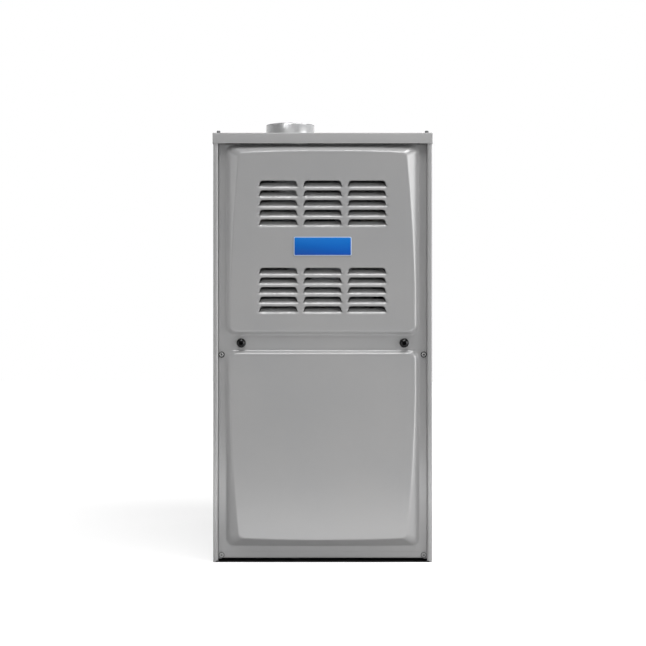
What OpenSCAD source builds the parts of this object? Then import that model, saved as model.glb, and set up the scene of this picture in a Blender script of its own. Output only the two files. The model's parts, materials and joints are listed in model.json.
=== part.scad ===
// Upflow forced-air gas furnace, in millimetres.
// X points right, Y to the back and Z up. The origin is on the floor, under the cabinet's centre.

/* [Cabinet] */
// Width across the side walls
cab_w = 442; // [430:1:530]
// Depth from the front flanges to the back wall
cab_d = 737; // [725:1:780]
// Height over the top cap
cab_h = 867; // [860:1:900]
// Thickness of the cabinet steel
sheet = 1.2; // [0.8:0.1:1.5]
// Width of the flange beside the doors
flange_w = 9.5; // [8:0.5:12]
// Width of the ledge behind each side edge of the doors
landing_w = 14.5; // [13:0.5:18]
// Depth of the door margins behind the front flanges
door_recess = 12; // [9:0.5:14]
// Height of the lip round the top cap
cap_lip_h = 21.5; // [16:0.5:26]
// Height of the gap under the base rail
base_gap = 6.7; // [5:0.1:10]
// Height of the base rail
rail_h = 12.6; // [11:0.1:16]
// Width of the flanges that carry the base pan
foot_flange_w = 15; // [12:1:20]
// Clearance between fixed pieces that fit together
fit_gap = 0.05; // [0.04:0.01:0.1]
// Clearance round pieces that move
run_gap = 0.3; // [0.2:0.05:0.5]
// Clearance of a shaft in its bearing, on the radius
shaft_gap = 0.05; // [0.03:0.01:0.09]

/* [Air openings] */
// Rim left round the supply opening at the cabinet's sides
supply_side = 24; // [20:1:40]
// Rim left between the supply opening and the back wall
supply_back = 23.5; // [20:0.5:40]
// Distance from the vestibule panel to the supply opening
supply_front = 18; // [10:1:30]
// Height of the duct flanges round the supply opening
duct_flange_h = 19; // [12:1:25]
// Rim left round the return opening at the cabinet's sides
return_side = 46; // [30:1:60]
// Rim left between the return opening and the back wall
return_back = 38; // [30:1:60]
// Distance from the front flanges to the return opening
return_front = 118; // [90:1:150]

/* [Doors] */
// Gap between the doors' side edges and the cabinet
door_side_gap = 0.8; // [0.5:0.1:1.2]
// Height of the bare strip under the upper door's bulge
strip_h = 29.6; // [28:0.1:34]
// Height of the seam between the doors above the blower deck
seam_rise = 28.6; // [26:0.1:32]
// Margin over the upper door's bulge
top_margin_h = 1.5; // [1:0.1:6]
// Margin under the lower door's bulge
bottom_margin_h = 11.9; // [8:0.1:16]
// Width of the margin beside the bulges, from the front flanges
side_margin_w = 15.7; // [15:0.1:20]
// Depth of a bulge at its deep end
bulge_deep = 22; // [18:0.5:30]
// Depth of a bulge at its shallow end
bulge_shallow = 7.5; // [6:0.5:10]
// Share of a bulge's face that stays at the shallow depth
sweep_start = 0.2; // [0:0.01:0.4]
// Power by which the rest of the face sweeps out to the deep end
sweep_power = 1.6; // [1.2:0.1:3]
// Run of the bulge's side walls for each millimetre of depth
bulge_slope = 1.16; // [0.8:0.01:1.3]
// Height of the sloped wall at the bulge's deep end
deep_run = 14.5; // [8:0.5:18]
// Height of the sloped wall at the bulge's shallow end
shallow_run = 7.5; // [6:0.5:10]
// Radius of the bulge's corners
bulge_corner_r = 19; // [12:1:24]
// Height of the knobs over the seam
knob_rise = 13.6; // [12:0.1:15]
// Distance of the knobs from the bulge's side
knob_inset = 30.8; // [25:0.1:45]
// Radius of a knob
knob_r = 9.4; // [8:0.1:11]
// Length of a knob's head
knob_h = 9.5; // [7:0.5:12]
// Radius of a knob's stud
knob_stud_r = 3; // [2.5:0.1:3.5]
// Length of the spring receiver behind the crossbar
receiver_t = 7; // [5:0.5:9]
// Width of the spring receiver
receiver_w = 16; // [14:1:20]
// Width of the badge plate
badge_w = 116.7; // [90:0.1:130]
// Height of the badge plate
badge_h = 38.3; // [30:0.1:45]
// Thickness of the badge plate
badge_t = 1.6; // [1:0.1:2.5]
// Radius of the badge plate's corners
badge_r = 3; // [1:0.5:6]

/* [Louvers] */
// Louvers side by side
louver_columns = 3; // [1:1:3]
// Louvers one over the other in a group
louver_rows = 5; // [3:1:6]
// Spacing of the columns
louver_pitch_x = 89.5; // [84:0.5:95]
// Rows of louvers that would fill the upper bulge from end to end
louver_row_fill = 19.84; // [18:0.01:22]
// Width of a louver at its fold
louver_w = 79; // [60:1:80]
// Height of a louver's opening
louver_h = 12.5; // [10:0.5:13.5]
// Amount by which each side of a louver tapers
louver_taper = 7; // [4:0.5:9]
// Width of the slit round a louver's tab
louver_slit = 2; // [1:0.25:3]
// Angle by which a tab is bent inwards
louver_angle = 48; // [30:1:60]
// Share of the upper bulge's length that lies below the lower group
lower_group_share = 0.1211; // [0.11:0.0001:0.15]
// Share of the upper bulge's length that lies below the upper group
upper_group_share = 0.5768; // [0.55:0.0001:0.6]

/* [Fasteners] */
// Radius of a sheet-metal screw's shank
screw_r = 2.1; // [1.8:0.1:2.4]
// Radius of a screw head
screw_head_r = 4.6; // [4:0.1:5.2]
// Height of a screw head
screw_head_h = 3.2; // [2.5:0.1:4.5]
// Radius of the washer face under a screw head
washer_r = 6.2; // [5.5:0.1:6.4]
// Thickness of the washer face
washer_t = 0.8; // [0.6:0.1:1.2]
// Length of the cap's and the base rail's screws
screw_l = 10; // [8:1:12]
// Length of the lower door's screws
door_screw_l = 14; // [12:1:16]
// Distance of the screws from the inner edge of the front flanges
screw_inset = 6.8; // [6.5:0.1:8]
// Distance of the cap's screws from the cabinet's sides
cap_screw_inset = 10.5; // [9:0.1:14]
// Radius of the six-sided head of a cap screw
cap_screw_head_r = 3.7; // [3:0.1:4.5]
// Height of the head of a cap screw
cap_screw_head_h = 5; // [4:0.1:5.5]
// Depth of the lower door's screws below the seam
door_screw_drop = 9.5; // [8:0.5:14]

/* [Blower] */
// Height of the blower deck over the floor
deck_z = 400; // [392:1:410]
// Height of the crossbar over the blower deck
crossbar_h = 65; // [60:1:70]
// Distance from the front flanges to the vestibule panel
vestibule_depth = 238.5; // [232:0.5:245]
// Setback of the blower scroll from the vestibule panel
blower_setback = 10; // [6:1:20]
// Width of the blower housing
housing_w = 240; // [230:1:250]
// Radius of the scroll at its cut-off
scroll_r0 = 140; // [136:1:144]
// Radius of the scroll at its outlet
scroll_r1 = 192; // [186:1:194]
// Length of the scroll's outlet, front to back
scroll_outlet = 168; // [150:1:172]
// Drop from the deck to the blower's axle
blower_drop = 196; // [192:1:200]
// Radius of the housing's inlets
inlet_r = 112; // [105:1:116]
// Outer radius of the blower wheel
wheel_r = 127; // [120:1:130]
// Width of the blower wheel
wheel_w = 204; // [190:1:210]
// Depth of the wheel's blades
blade_d = 17; // [12:1:20]
// Blades round the blower wheel
blade_n = 36; // [24:1:44]
// Thickness of a blade
blade_t = 1; // [0.8:0.1:1.4]
// Radius of the wheel's hub
hub_r = 20; // [16:1:24]
// Radius of the motor shaft
motor_shaft_r = 6.35; // [5:0.05:8]
// Radius of the blower motor
motor_r = 68; // [60:1:72]
// Length of the blower motor
motor_len = 126; // [118:1:140]
// Width of the motor's band and arms
mount_bar_w = 16; // [12:1:20]
// Thickness of the motor's band and arms
mount_bar_t = 2.5; // [2:0.1:3]
// Depth of the rails that carry the blower
rail_drop = 10; // [8:0.5:12]
// Width of the blower rails' lips
rail_lip_w = 20; // [17:1:22]

/* [Heat exchanger] */
// Distance from the cabinet's side to the axis of the outer heat exchanger tube
tube_side = 121; // [115:1:130]
// Outer radius of a heat exchanger tube
tube_r = 22; // [18:0.5:23]
// Wall of a heat exchanger tube
tube_wall = 1.5; // [1.2:0.1:2]
// Spacing of a tube's passes
pass_pitch = 60; // [54:1:62]
// Gap between the tubes' front bends and the vestibule panel
bend_front_gap = 8; // [5:1:20]
// Gap between the tubes' back bends and the liner
bend_back_gap = 60; // [30:1:80]
// Height of the burners over the blower deck
burner_rise = 100; // [98:1:108]
// Thickness of the liner round the heat exchanger
liner_t = 12; // [8:1:14]
// Half width of the collector box past the outer tubes
collector_side = 40; // [30:1:44]
// Height of the collector box over its tubes
collector_up = 35; // [28:1:38]
// Depth of the collector box below its tubes
collector_down = 58; // [54:1:60]

/* [Draught inducer] */
// Height of the inducer's axle below the tubes' top pass
inducer_drop = 15; // [12:1:17]
// Radius of the inducer's scroll at its cut-off
inducer_r0 = 68; // [66:1:72]
// Radius of the inducer's scroll at its outlet
inducer_r1 = 106; // [104:1:108]
// Depth of the inducer housing
inducer_d = 78; // [77:0.5:80]
// Wall of the inducer housing
inducer_wall = 1.5; // [1.2:0.1:1.6]
// Height of the inducer's outlet over its axle
inducer_outlet_h = 80; // [78:1:84]
// Distance of the flue's centre from the front flanges
flue_setback = 128; // [126:0.5:130]
// Outer radius of the flue pipe inside the cabinet
flue_r = 38; // [36:0.5:38]
// Wall of the flue pipe and the collar
flue_wall = 1; // [0.8:0.1:1.2]
// Outer radius of the flue collar on the top cap
collar_r = 50.5; // [48:0.5:54]
// Height of the flue collar over the top cap
collar_h = 31; // [25:1:40]
// Width of the collar's base flange
collar_flange_w = 11; // [8:1:14]
// Radius of the inducer wheel
inducer_wheel_r = 58; // [50:1:59]
// Length of the inducer wheel
inducer_wheel_w = 34; // [28:1:38]
// Radius of the inducer's inlet
inducer_inlet_r = 35; // [28:1:36]
// Radius of the inducer's shaft
inducer_shaft_r = 4; // [3:0.5:5]
// Radius of the inducer motor
inducer_motor_r = 38; // [34:1:42]
// Length of the inducer motor
inducer_motor_len = 46; // [40:1:50]
// Radius of the inducer motor's cooling fan
cooling_fan_r = 32; // [26:1:36]

/* [Gas train] */
// Radius of a burner's throat
burner_throat_r = 11; // [9:0.5:12]
// Radius of a burner's mouth
burner_mouth_r = 17; // [15:0.5:19]
// Radius of a burner's head
burner_head_r = 20; // [19:0.5:21]
// Length of a burner
burner_len = 140; // [130:1:145]
// Gap between a burner's head and the vestibule panel
burner_gap = 12; // [8:1:16]
// Distance from the outer burners' axes to the rack's end plates
rack_side = 32; // [28:1:36]
// Depth of the burner rack's tray below the burners
rack_drop = 32; // [28:1:36]
// Radius of the gas manifold
manifold_r = 12.7; // [11:0.1:14]
// Radius of an orifice's hexagon
orifice_r = 6; // [5:0.5:7]
// Gap between an orifice and the burner's mouth
orifice_gap = 3; // [2:0.5:6]
// Length of an orifice
orifice_len = 14; // [12:0.5:18]
// Length of the gas valve
valve_len = 62; // [56:1:66]
// Depth of the gas valve
valve_d = 42; // [38:1:44]
// Height of the gas valve
valve_h = 50; // [44:1:60]
// Space between the gas valve's inlet boss and the side wall
valve_wall_gap = 8; // [6:1:12]
// Radius of the gas valve's inlet boss
inlet_boss_r = 16; // [14:0.5:17]
// Length of the gas valve's inlet boss
inlet_boss_len = 9; // [6:0.5:11]
// Wall radius of the gas inlet's thread
gas_thread_r = 10.5; // [9:0.1:11]
// Depth of the gas inlet's thread
gas_thread_len = 18; // [14:1:22]
// Radius of the gas valve's knob
valve_knob_r = 14; // [11:0.5:16]
// Length of the gas valve's knob
valve_knob_h = 10; // [8:0.5:12]
// Radius of the gas pipe hole in the side wall
gas_hole_r = 25; // [22:0.5:28]

/* [Controls] */
// Radius of the conduit hole in the left wall
conduit_r = 11.1; // [9:0.1:14]
// Depth of the junction box
junction_d = 46; // [36:1:56]
// Width of the junction box, front to back
junction_w = 70; // [56:1:80]
// Height of the junction box
junction_h = 64; // [56:1:72]
// Distance of the control panel from the front flanges
panel_setback = 70; // [62:1:90]
// Width of the control panel
panel_w = 240; // [236:1:260]
// Height of the control panel
panel_h = 150; // [146:1:170]
// Width of the control board
board_w = 140; // [130:1:144]
// Height of the control board
board_h = 105; // [100:1:112]
// Length of the board's stand-offs
standoff_h = 8; // [6:0.5:10]
// Width of a relay on the board
relay_w = 20; // [16:1:22]
// Height of a relay
relay_h = 24; // [18:1:28]
// Depth of a relay
relay_d = 16; // [12:1:20]
// Length of the board's lower header
header_l = 56; // [40:1:60]
// Height of a header
header_h = 9; // [7:0.5:10]
// Depth of a header
header_d = 10; // [8:0.5:12]
// Length of the board's upright header
side_header_l = 40; // [30:1:48]
// Width of the fuse holder
fuse_w = 14; // [11:1:15]
// Length of the fuse holder
fuse_l = 26; // [20:1:32]
// Spacing of the board's terminals
terminal_pitch = 9; // [8:0.5:10]
// Radius of a terminal
terminal_r = 2.4; // [1.5:0.1:3]
// Height of a terminal
terminal_h = 7; // [5:0.5:9]
// Width of the folded edges of the control panel
panel_fold_w = 16; // [12:1:20]
// Width of the transformer's core
core_w = 52; // [44:1:56]
// Height of the transformer's core
core_h = 44; // [36:1:48]
// Depth of the transformer's core
core_d = 40; // [34:1:44]
// Width of the transformer's coil
coil_w = 34; // [28:1:38]
// Height of the transformer's coil
coil_h = 60; // [54:1:62]
// Depth of the transformer's coil
coil_d = 52; // [46:1:54]
// Height of a foot of the transformer
core_foot_h = 18; // [14:1:20]
// Height of the capacitor's can
can_h = 42; // [36:1:46]
// Radius of the capacitor's round sides
can_r = 15; // [12:1:17]
// Distance of the round sides' axes from the can's middle
can_half_w = 10; // [8:1:12]
// Width of the capacitor's strap
strap_w = 60; // [56:1:62]
// Height of the capacitor's strap
strap_h = 14; // [10:1:18]
// Radius of the wire harness
harness_r = 5; // [4:0.5:6]
// Width of the door switch
switch_w = 22; // [18:1:26]
// Height of the door switch
switch_h = 28; // [22:1:32]
// Length of the door switch
switch_l = 30; // [24:1:34]
// Radius of the door switch's plunger
plunger_r = 3; // [2:0.5:4]
// Travel of the door switch's plunger
plunger_travel = 4.5; // [3:0.5:5]
// Radius of the pressure switch
pressure_r = 28; // [24:1:30]
// Thickness of the pressure switch
pressure_t = 18; // [14:1:22]
// Height of the left wall's plug over the floor
side_plug_z = 255; // [200:1:300]
// Distance of the left wall's plug from the front flanges
side_plug_y = 40; // [30:1:90]
// Radius of the left wall's plug
side_plug_r = 7; // [5:0.5:9]

/* [Hidden] */
$fn = 48;

eps = 0.5;                     // how far a cut runs past a face
front = -cab_d / 2;            // front face of the flanges
back_in = cab_d / 2 - sheet;   // inner face of the back wall
wall_in = cab_w / 2 - sheet;   // inner face of a side wall
cap_z = cab_h - sheet;         // underside of the top cap
opening_x = cab_w / 2 - flange_w;   // inner edge of a front flange
landing_x = opening_x - landing_w;  // inner edge of a landing ledge
margin_y = front + door_recess;     // outer face of the door margins
landing_y = margin_y + sheet + run_gap; // front face of the landing ledges
behind_y = landing_y + sheet;       // back face of the landing ledges
deck_top = deck_z + sheet;
vest_y = front + vestibule_depth;   // back face of the vestibule panel
vest_front = vest_y - sheet;
door_x = opening_x - door_side_gap; // side edge of a door
rail_top = base_gap + rail_h;
seam_z = deck_z + seam_rise;        // top edge of the lower door
upper_z0 = seam_z + run_gap;        // bottom edge of the upper door
upper_z1 = cab_h - cap_lip_h - sheet / 2; // top edge of the upper door
lower_z0 = rail_top + run_gap;      // bottom edge of the lower door
bulge_x = opening_x - side_margin_w;
knob_x = bulge_x - knob_inset;
knob_z = upper_z0 + knob_rise;
screw_x = opening_x - screw_inset;
cap_screw_x = cab_w / 2 - cap_screw_inset;
cap_screw_y = (front + behind_y) / 2;
crossbar_back = behind_y + sheet;
blower_y = vest_y + blower_setback + scroll_r1;
blower_z = deck_z - blower_drop;
burner_z = deck_z + burner_rise;
top_pass_z = burner_z + 3 * pass_pitch;
bend_r = pass_pitch / 2;
front_bend_y = vest_y + bend_front_gap + bend_r + tube_r;
back_bend_y = back_in - liner_t - bend_back_gap - bend_r - tube_r;
tube_pitch = cab_w / 2 - tube_side;     // spacing of the heat exchanger tubes and burners
collector_x = tube_pitch + collector_side;
flue_y = front + flue_setback;
inducer_front = flue_y - inducer_d / 2;
inducer_back = flue_y + inducer_d / 2;
inducer_z = top_pass_z - inducer_drop;
flue_x = flue_r - inducer_r1;
inducer_top = inducer_z + inducer_outlet_h;
burner_back = vest_front - burner_gap;
burner_front = burner_back - burner_len;
manifold_y = burner_front - orifice_gap - orifice_len - manifold_r + 2;
rack_x = tube_pitch + rack_side;        // outer face of the rack's end plates
rack_z = burner_z - rack_drop;
valve_x1 = wall_in - valve_wall_gap - inlet_boss_len;
valve_x0 = valve_x1 - valve_len;
valve_front = manifold_y - valve_d / 2;
panel_y = front + panel_setback;
rollout_x = rack_x - rack_side / 2 + 2;

// A rectangle with round corners, centred
module rounded_rect(w, h, r) {
    square([w - 2 * r, h], center = true);
    square([w, h - 2 * r], center = true);
    for (x = [-1, 1], y = [-1, 1])
        translate([x * (w / 2 - r), y * (h / 2 - r)]) circle(r);
}

// A box from its lowest to its highest corner
module span(low, high) translate(low) cube(high - low);

// A cylinder along Y from y0 to y1, through x and z
module along_y(x, z, y0, y1, r) translate([x, y1, z]) rotate([90, 0, 0]) cylinder(h = y1 - y0, r = r);

// A cylinder along X from x0 to x1, through y and z
module along_x(y, z, x0, x1, r) translate([x0, y, z]) rotate([0, 90, 0]) cylinder(h = x1 - x0, r = r);

// A flat outline drawn in X and Z, made thick from y0 to y1
module plate_y(y0, y1) translate([0, y1, 0]) rotate([90, 0, 0]) linear_extrude(y1 - y0) children();

// The same thing on both sides of the cabinet
module both_sides() {
    children();
    mirror([1, 0, 0]) children();
}

// ---------------------------------------------------------------- cabinet

// Wrap of the side walls and the back wall, with the flanges that the doors close on
module cabinet_wrapper() color("#a2a2a3") difference() {
    union() {
        both_sides() {
            span([wall_in, front, 0], [cab_w / 2, cab_d / 2, cap_z]);
            span([opening_x, front, 0], [cab_w / 2, front + sheet, cap_z]);
            span([opening_x, front, 0], [opening_x + sheet, behind_y, cap_z]);
            span([landing_x, landing_y, 0], [opening_x + sheet, behind_y, cap_z]);
            span([landing_x, front + sheet, cap_z - sheet], [wall_in, behind_y, cap_z]);
            span([wall_in - foot_flange_w, behind_y + fit_gap, base_gap - sheet], [wall_in, back_in, base_gap]);
        }
        span([-cab_w / 2, back_in, 0], [cab_w / 2, cab_d / 2, cap_z]);
        span([-wall_in, back_in - foot_flange_w, base_gap - sheet], [wall_in, back_in, base_gap]);
    }
    both_sides() {
        along_y(screw_x, rail_top / 2 + base_gap / 2, front, behind_y + eps, screw_r + fit_gap);
        along_y(screw_x, seam_z - door_screw_drop, landing_y - eps, behind_y + eps, screw_r + run_gap);
        translate([cap_screw_x, cap_screw_y, cab_h - screw_l - 1]) cylinder(h = screw_l + 1, r = screw_r + fit_gap);
    }
    along_x(manifold_y, burner_z, wall_in - eps, cab_w / 2 + eps, gas_hole_r);
    along_x(junction_y, junction_z, -cab_w / 2 - eps, -wall_in + eps, conduit_r);
    along_x(front + side_plug_y, side_plug_z, -cab_w / 2 - eps, -wall_in + eps, side_plug_r - 2 + fit_gap);
}

cap_x = cab_w / 2 + fit_gap + sheet;
cap_y = cab_d / 2 + fit_gap + sheet;
supply_x = cab_w / 2 - supply_side;
supply_y0 = vest_y + supply_front;
supply_y1 = cab_d / 2 - supply_back;

// Lid with a lip all round, the flue hole and the flanged supply opening
module top_cap() color("#a6a6a7") difference() {
    union() {
        difference() {
            span([-cap_x, -cap_y, cab_h - cap_lip_h], [cap_x, cap_y, cab_h]);
            span([-cap_x + sheet, -cap_y + sheet, 0], [cap_x - sheet, cap_y - sheet, cap_z]);
        }
        span([-supply_x - sheet, supply_y0 - sheet, cap_z], [supply_x + sheet, supply_y1 + sheet, cab_h + duct_flange_h]);
    }
    span([-supply_x, supply_y0, cap_z - eps], [supply_x, supply_y1, cab_h + duct_flange_h + eps]);
    translate([flue_x, flue_y, cap_z - eps]) cylinder(h = sheet + 2 * eps, r = neck_r + 1);
    both_sides() translate([cap_screw_x, cap_screw_y, cap_z - eps])
        cylinder(h = sheet + 2 * eps, r = screw_r + fit_gap);
}

// Floor of the cabinet with the front rail and the return opening
module base_pan() color("#9d9d9e") difference() {
    union() {
        span([-door_x, landing_y - sheet, base_gap], [door_x, landing_y, rail_top]);
        span([-landing_x + fit_gap, landing_y - sheet, base_gap], [landing_x - fit_gap, behind_y + 1, base_gap + sheet]);
        span([-wall_in + fit_gap, behind_y + fit_gap, base_gap], [wall_in - fit_gap, back_in - fit_gap, base_gap + sheet]);
    }
    span([-cab_w / 2 + return_side, front + return_front, base_gap - eps],
        [cab_w / 2 - return_side, cab_d / 2 - return_back, base_gap + sheet + eps]);
    both_sides() along_y(screw_x, rail_top / 2 + base_gap / 2, front, landing_y + eps, screw_r + fit_gap);
}

// Shelf between the two compartments, with the crossbar that the doors meet on
module blower_deck() color("#b4b6b8") difference() {
    union() {
        span([-wall_in + fit_gap, behind_y, deck_z], [wall_in - fit_gap, back_in - fit_gap, deck_top]);
        span([-wall_in + fit_gap, behind_y, deck_z], [wall_in - fit_gap, crossbar_back, deck_z + crossbar_h]);
    }
    span([-housing_w / 2 + sheet, blower_y - scroll_r1 + sheet, deck_z - eps],
        [housing_w / 2 - sheet, blower_y - scroll_r1 + scroll_outlet - sheet, deck_top + eps]);
    both_sides() {
        along_y(knob_x, knob_z, behind_y - eps, crossbar_back + eps, knob_stud_r + run_gap);
        along_y(screw_x, seam_z - door_screw_drop, behind_y - eps, crossbar_back + eps, screw_r + run_gap);
    }
    translate([harness_x, harness_y, deck_z - eps]) cylinder(h = sheet + 2 * eps, r = harness_r + 2);
}

// Wall between the burners and the heat exchanger
module vestibule_panel() color("#b9bbbd") difference() {
    span([-wall_in + fit_gap, vest_front, deck_top], [wall_in - fit_gap, vest_y, cap_z]);
    for (x = [-1, 0, 1], z = [burner_z, top_pass_z])
        along_y(x * tube_pitch, z, vest_front - eps, vest_y + eps, tube_r + fit_gap);
    along_y(limit_x, limit_z, vest_front - eps, vest_y + eps, limit_r + fit_gap);
}

// Foil-faced blanket along the walls beside and behind the heat exchanger
module insulation_liner() color("#c9c8c0") {
    both_sides() span([wall_in - liner_t, vest_y, deck_top], [wall_in, back_in, cap_z]);
    span([-wall_in, back_in - liner_t, deck_top], [wall_in, back_in, cap_z]);
}

// ---------------------------------------------------------------- heat exchanger

module tube_straight(z, y0, y1) difference() {
    along_y(0, z, y0, y1, tube_r);
    along_y(0, z, y0 - eps, y1 + eps, tube_r - tube_wall);
}

// Half turn from the pass at z to the next one up, bulging to the back
module tube_bend(z) translate([0, back_bend_y, z + bend_r]) rotate([0, 90, 0])
    rotate_extrude(angle = 180) translate([bend_r, 0]) difference() {
        circle(tube_r);
        circle(tube_r - tube_wall);
    }

// One serpentine tube of four passes, from its burner up to the collector box
module heat_exchanger(x) color("#a9a49a") translate([x, 0, 0]) {
    tube_straight(burner_z, vest_front, back_bend_y);
    tube_bend(burner_z);
    tube_straight(burner_z + pass_pitch, front_bend_y, back_bend_y);
    translate([0, front_bend_y + back_bend_y, 0]) mirror([0, 1, 0]) tube_bend(burner_z + pass_pitch);
    tube_straight(burner_z + 2 * pass_pitch, front_bend_y, back_bend_y);
    tube_bend(burner_z + 2 * pass_pitch);
    tube_straight(top_pass_z, vest_front, back_bend_y);
}

// Sheet-metal box that gathers the tubes' ends and feeds the inducer
module collector_box() color("#b0aba0") difference() {
    span([-collector_x, inducer_back, top_pass_z - collector_down], [collector_x, vest_front, top_pass_z + collector_up]);
    span([-collector_x + sheet, inducer_back + sheet, top_pass_z - collector_down + sheet],
        [collector_x - sheet, vest_front + eps, top_pass_z + collector_up - sheet]);
    along_y(0, inducer_z, inducer_back - eps, inducer_back + sheet + eps, inducer_inlet_r);
    along_x((inducer_back + vest_front) / 2, hose_z, collector_x - sheet - eps, collector_x + eps, hose_r + fit_gap);
}

// ---------------------------------------------------------------- draught inducer and flue

// Outline of a scroll whose outlet opens upwards on its left side
cutoff_angle = 60;
function scroll_points(r0, r1, outlet_w, outlet_h, inset) = concat(
    [for (a = [cutoff_angle:10:360]) let (r = r0 + (r1 - r0) * a / 360 - inset) [-r * cos(a), r * sin(a)]],
    [[inset - r1, outlet_h], [outlet_w - r1 - inset, outlet_h]]);

// Blades round a wheel, each turned to the rim by the same angle
module blade_ring(r_in, r_out, n, thick, turn) for (i = [0:n - 1])
    rotate(i * 360 / n) translate([(r_in + r_out) / 2, 0]) rotate(turn)
        square([(r_out - r_in) / cos(turn), thick], center = true);

module ring(r_in, r_out) difference() {
    circle(r_out);
    circle(r_in);
}

neck_h = 12;                          // height of the inducer's outlet neck
neck_gap = flue_r - flue_wall - fit_gap; // outer radius of the inducer's outlet neck

// Scroll of the inducer, with the neck that the flue pipe slips over
module inducer_housing() color("#8f9296") difference() {
    union() {
        translate([0, inducer_back, inducer_z]) rotate([90, 0, 0]) linear_extrude(inducer_d)
            polygon(scroll_points(inducer_r0, inducer_r1, 2 * flue_r, inducer_outlet_h, 0));
        translate([flue_x, flue_y, inducer_top - inducer_wall]) cylinder(h = neck_h + inducer_wall, r = neck_gap);
    }
    translate([0, inducer_back - inducer_wall, inducer_z]) rotate([90, 0, 0])
        linear_extrude(inducer_d - 2 * inducer_wall)
            polygon(scroll_points(inducer_r0, inducer_r1, 2 * flue_r, inducer_outlet_h - inducer_wall, inducer_wall));
    translate([flue_x, flue_y, inducer_top - 2 * inducer_wall])
        cylinder(h = neck_h + 3 * inducer_wall, r = neck_gap - inducer_wall);
    along_y(0, inducer_z, inducer_back - inducer_wall - eps, inducer_back + eps, inducer_inlet_r);
    along_y(0, inducer_z, inducer_front - eps, inducer_front + inducer_wall + eps, inducer_shaft_r + 4);
}

motor_front = inducer_front - inducer_motor_len;

// Motor of the inducer, a round can with two feet
module inducer_motor() color("#55585c") difference() {
    union() {
        along_y(0, inducer_z, motor_front, inducer_front, inducer_motor_r);
        plate_y(inducer_front - 3, inducer_front) translate([0, inducer_z])
            square([2 * inducer_motor_r + 22, 24], center = true);
    }
    along_y(0, inducer_z, motor_front - eps, inducer_front + eps, inducer_shaft_r + shaft_gap);
}

inducer_disc_y = inducer_front + inducer_wall + 8;

// Backplate, blades and inlet ring of the inducer wheel
module inducer_wheel() color("#7d8084") translate([0, inducer_disc_y + inducer_wheel_w, inducer_z]) rotate([90, 0, 0]) {
    translate([0, 0, inducer_wheel_w - 1.5]) linear_extrude(1.5) ring(inducer_shaft_r, inducer_wheel_r);
    linear_extrude(inducer_wheel_w) blade_ring(inducer_wheel_r - 20, inducer_wheel_r - 0.5, 18, 1.2, 30);
    linear_extrude(1.5) ring(inducer_wheel_r - 21, inducer_wheel_r);
    translate([0, 0, inducer_wheel_w - 14]) linear_extrude(14) ring(inducer_shaft_r, 11);
}

fan_hub_len = 10;
fan_y = motor_front - 3 - fan_hub_len;

module inducer_shaft() color("#c8c9cb")
    along_y(0, inducer_z, fan_y - 3, inducer_disc_y + 16, inducer_shaft_r);

// Small fan on the front of the shaft that cools the inducer's motor
module cooling_fan() color("#2c2d2f") translate([0, fan_y + fan_hub_len, inducer_z]) rotate([90, 0, 0]) {
    linear_extrude(fan_hub_len) ring(inducer_shaft_r, 9);
    for (i = [0:5]) rotate(i * 60) translate([8, 0, fan_hub_len / 2]) rotate([35, 0, 0])
        translate([0, -6, -0.8]) cube([cooling_fan_r - 8, 12, 1.6]);
}

neck_r = flue_r + fit_gap + flue_wall;  // outer radius of the collar's lower neck
flue_top = cap_z - 5;

module flue_pipe() color("#b7babd") translate([flue_x, flue_y, inducer_top])
    linear_extrude(flue_top - inducer_top) ring(flue_r - flue_wall, flue_r);

// Collar on the cap: a neck round the flue pipe, a base flange and the tube for the vent
module flue_collar() color("#d3d5d7") translate([flue_x, flue_y, 0]) rotate_extrude() polygon([
    [neck_r - flue_wall, cap_z - 26], [neck_r - flue_wall, cab_h + flue_wall],
    [collar_r - flue_wall, cab_h + flue_wall], [collar_r - flue_wall, cab_h + collar_h],
    [collar_r, cab_h + collar_h], [collar_r, cab_h + flue_wall],
    [collar_r + collar_flange_w, cab_h + flue_wall], [collar_r + collar_flange_w, cab_h],
    [neck_r, cab_h], [neck_r, cap_z - 26]]);

// ---------------------------------------------------------------- burners and gas

rack_front = burner_front + 20;    // front upright of the rack
rack_back = burner_back - 22;      // back upright of the rack
rack_top = burner_z + burner_head_r + 8;

// Tray with two uprights that the burners lie in, and end plates that hold the manifold
module burner_rack() color("#b4b6b8") difference() {
    union() {
        span([-rack_x, rack_front, rack_z], [rack_x, vest_front, rack_z + sheet]);
        span([-rack_x, rack_front, rack_z], [rack_x, rack_front + sheet, rack_top]);
        span([-rack_x, rack_back, rack_z], [rack_x, rack_back + sheet, rack_top]);
        for (x = [-rack_x, rack_x - sheet])
            span([x, manifold_y - manifold_r - 6, rack_z], [x + sheet, vest_front, rack_top]);
    }
    for (x = [-1, 0, 1]) {
        along_y(x * tube_pitch, burner_z, rack_front - eps, rack_front + sheet + eps, burner_throat_r + fit_gap);
        along_y(x * tube_pitch, burner_z, rack_back - eps, rack_back + sheet + eps, burner_head_r + fit_gap);
    }
    along_x(manifold_y, burner_z, -rack_x - eps, rack_x + eps, manifold_r + fit_gap);
    along_y(tube_pitch + probe_offset, burner_z, rack_back - eps, rack_back + sheet + eps, probe_r + fit_gap);
    along_y(-tube_pitch - probe_offset, burner_z, rack_back - eps, rack_back + sheet + eps, probe_r + fit_gap);
}

// In-shot burner: a bell mouth, a throat and a wide head, hollow all through
burner_wall = 1.2;
module burner(x) color("#9a938a") translate([x, burner_back, burner_z]) rotate([90, 0, 0]) rotate_extrude()
    polygon([
        [burner_head_r, 0], [burner_head_r, 40], [burner_throat_r, 75], [burner_throat_r, burner_len - 10],
        [burner_mouth_r, burner_len], [burner_mouth_r - burner_wall, burner_len],
        [burner_throat_r - burner_wall, burner_len - 11], [burner_throat_r - burner_wall, 74],
        [burner_head_r - burner_wall, 39], [burner_head_r - burner_wall, 0]]);

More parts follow.
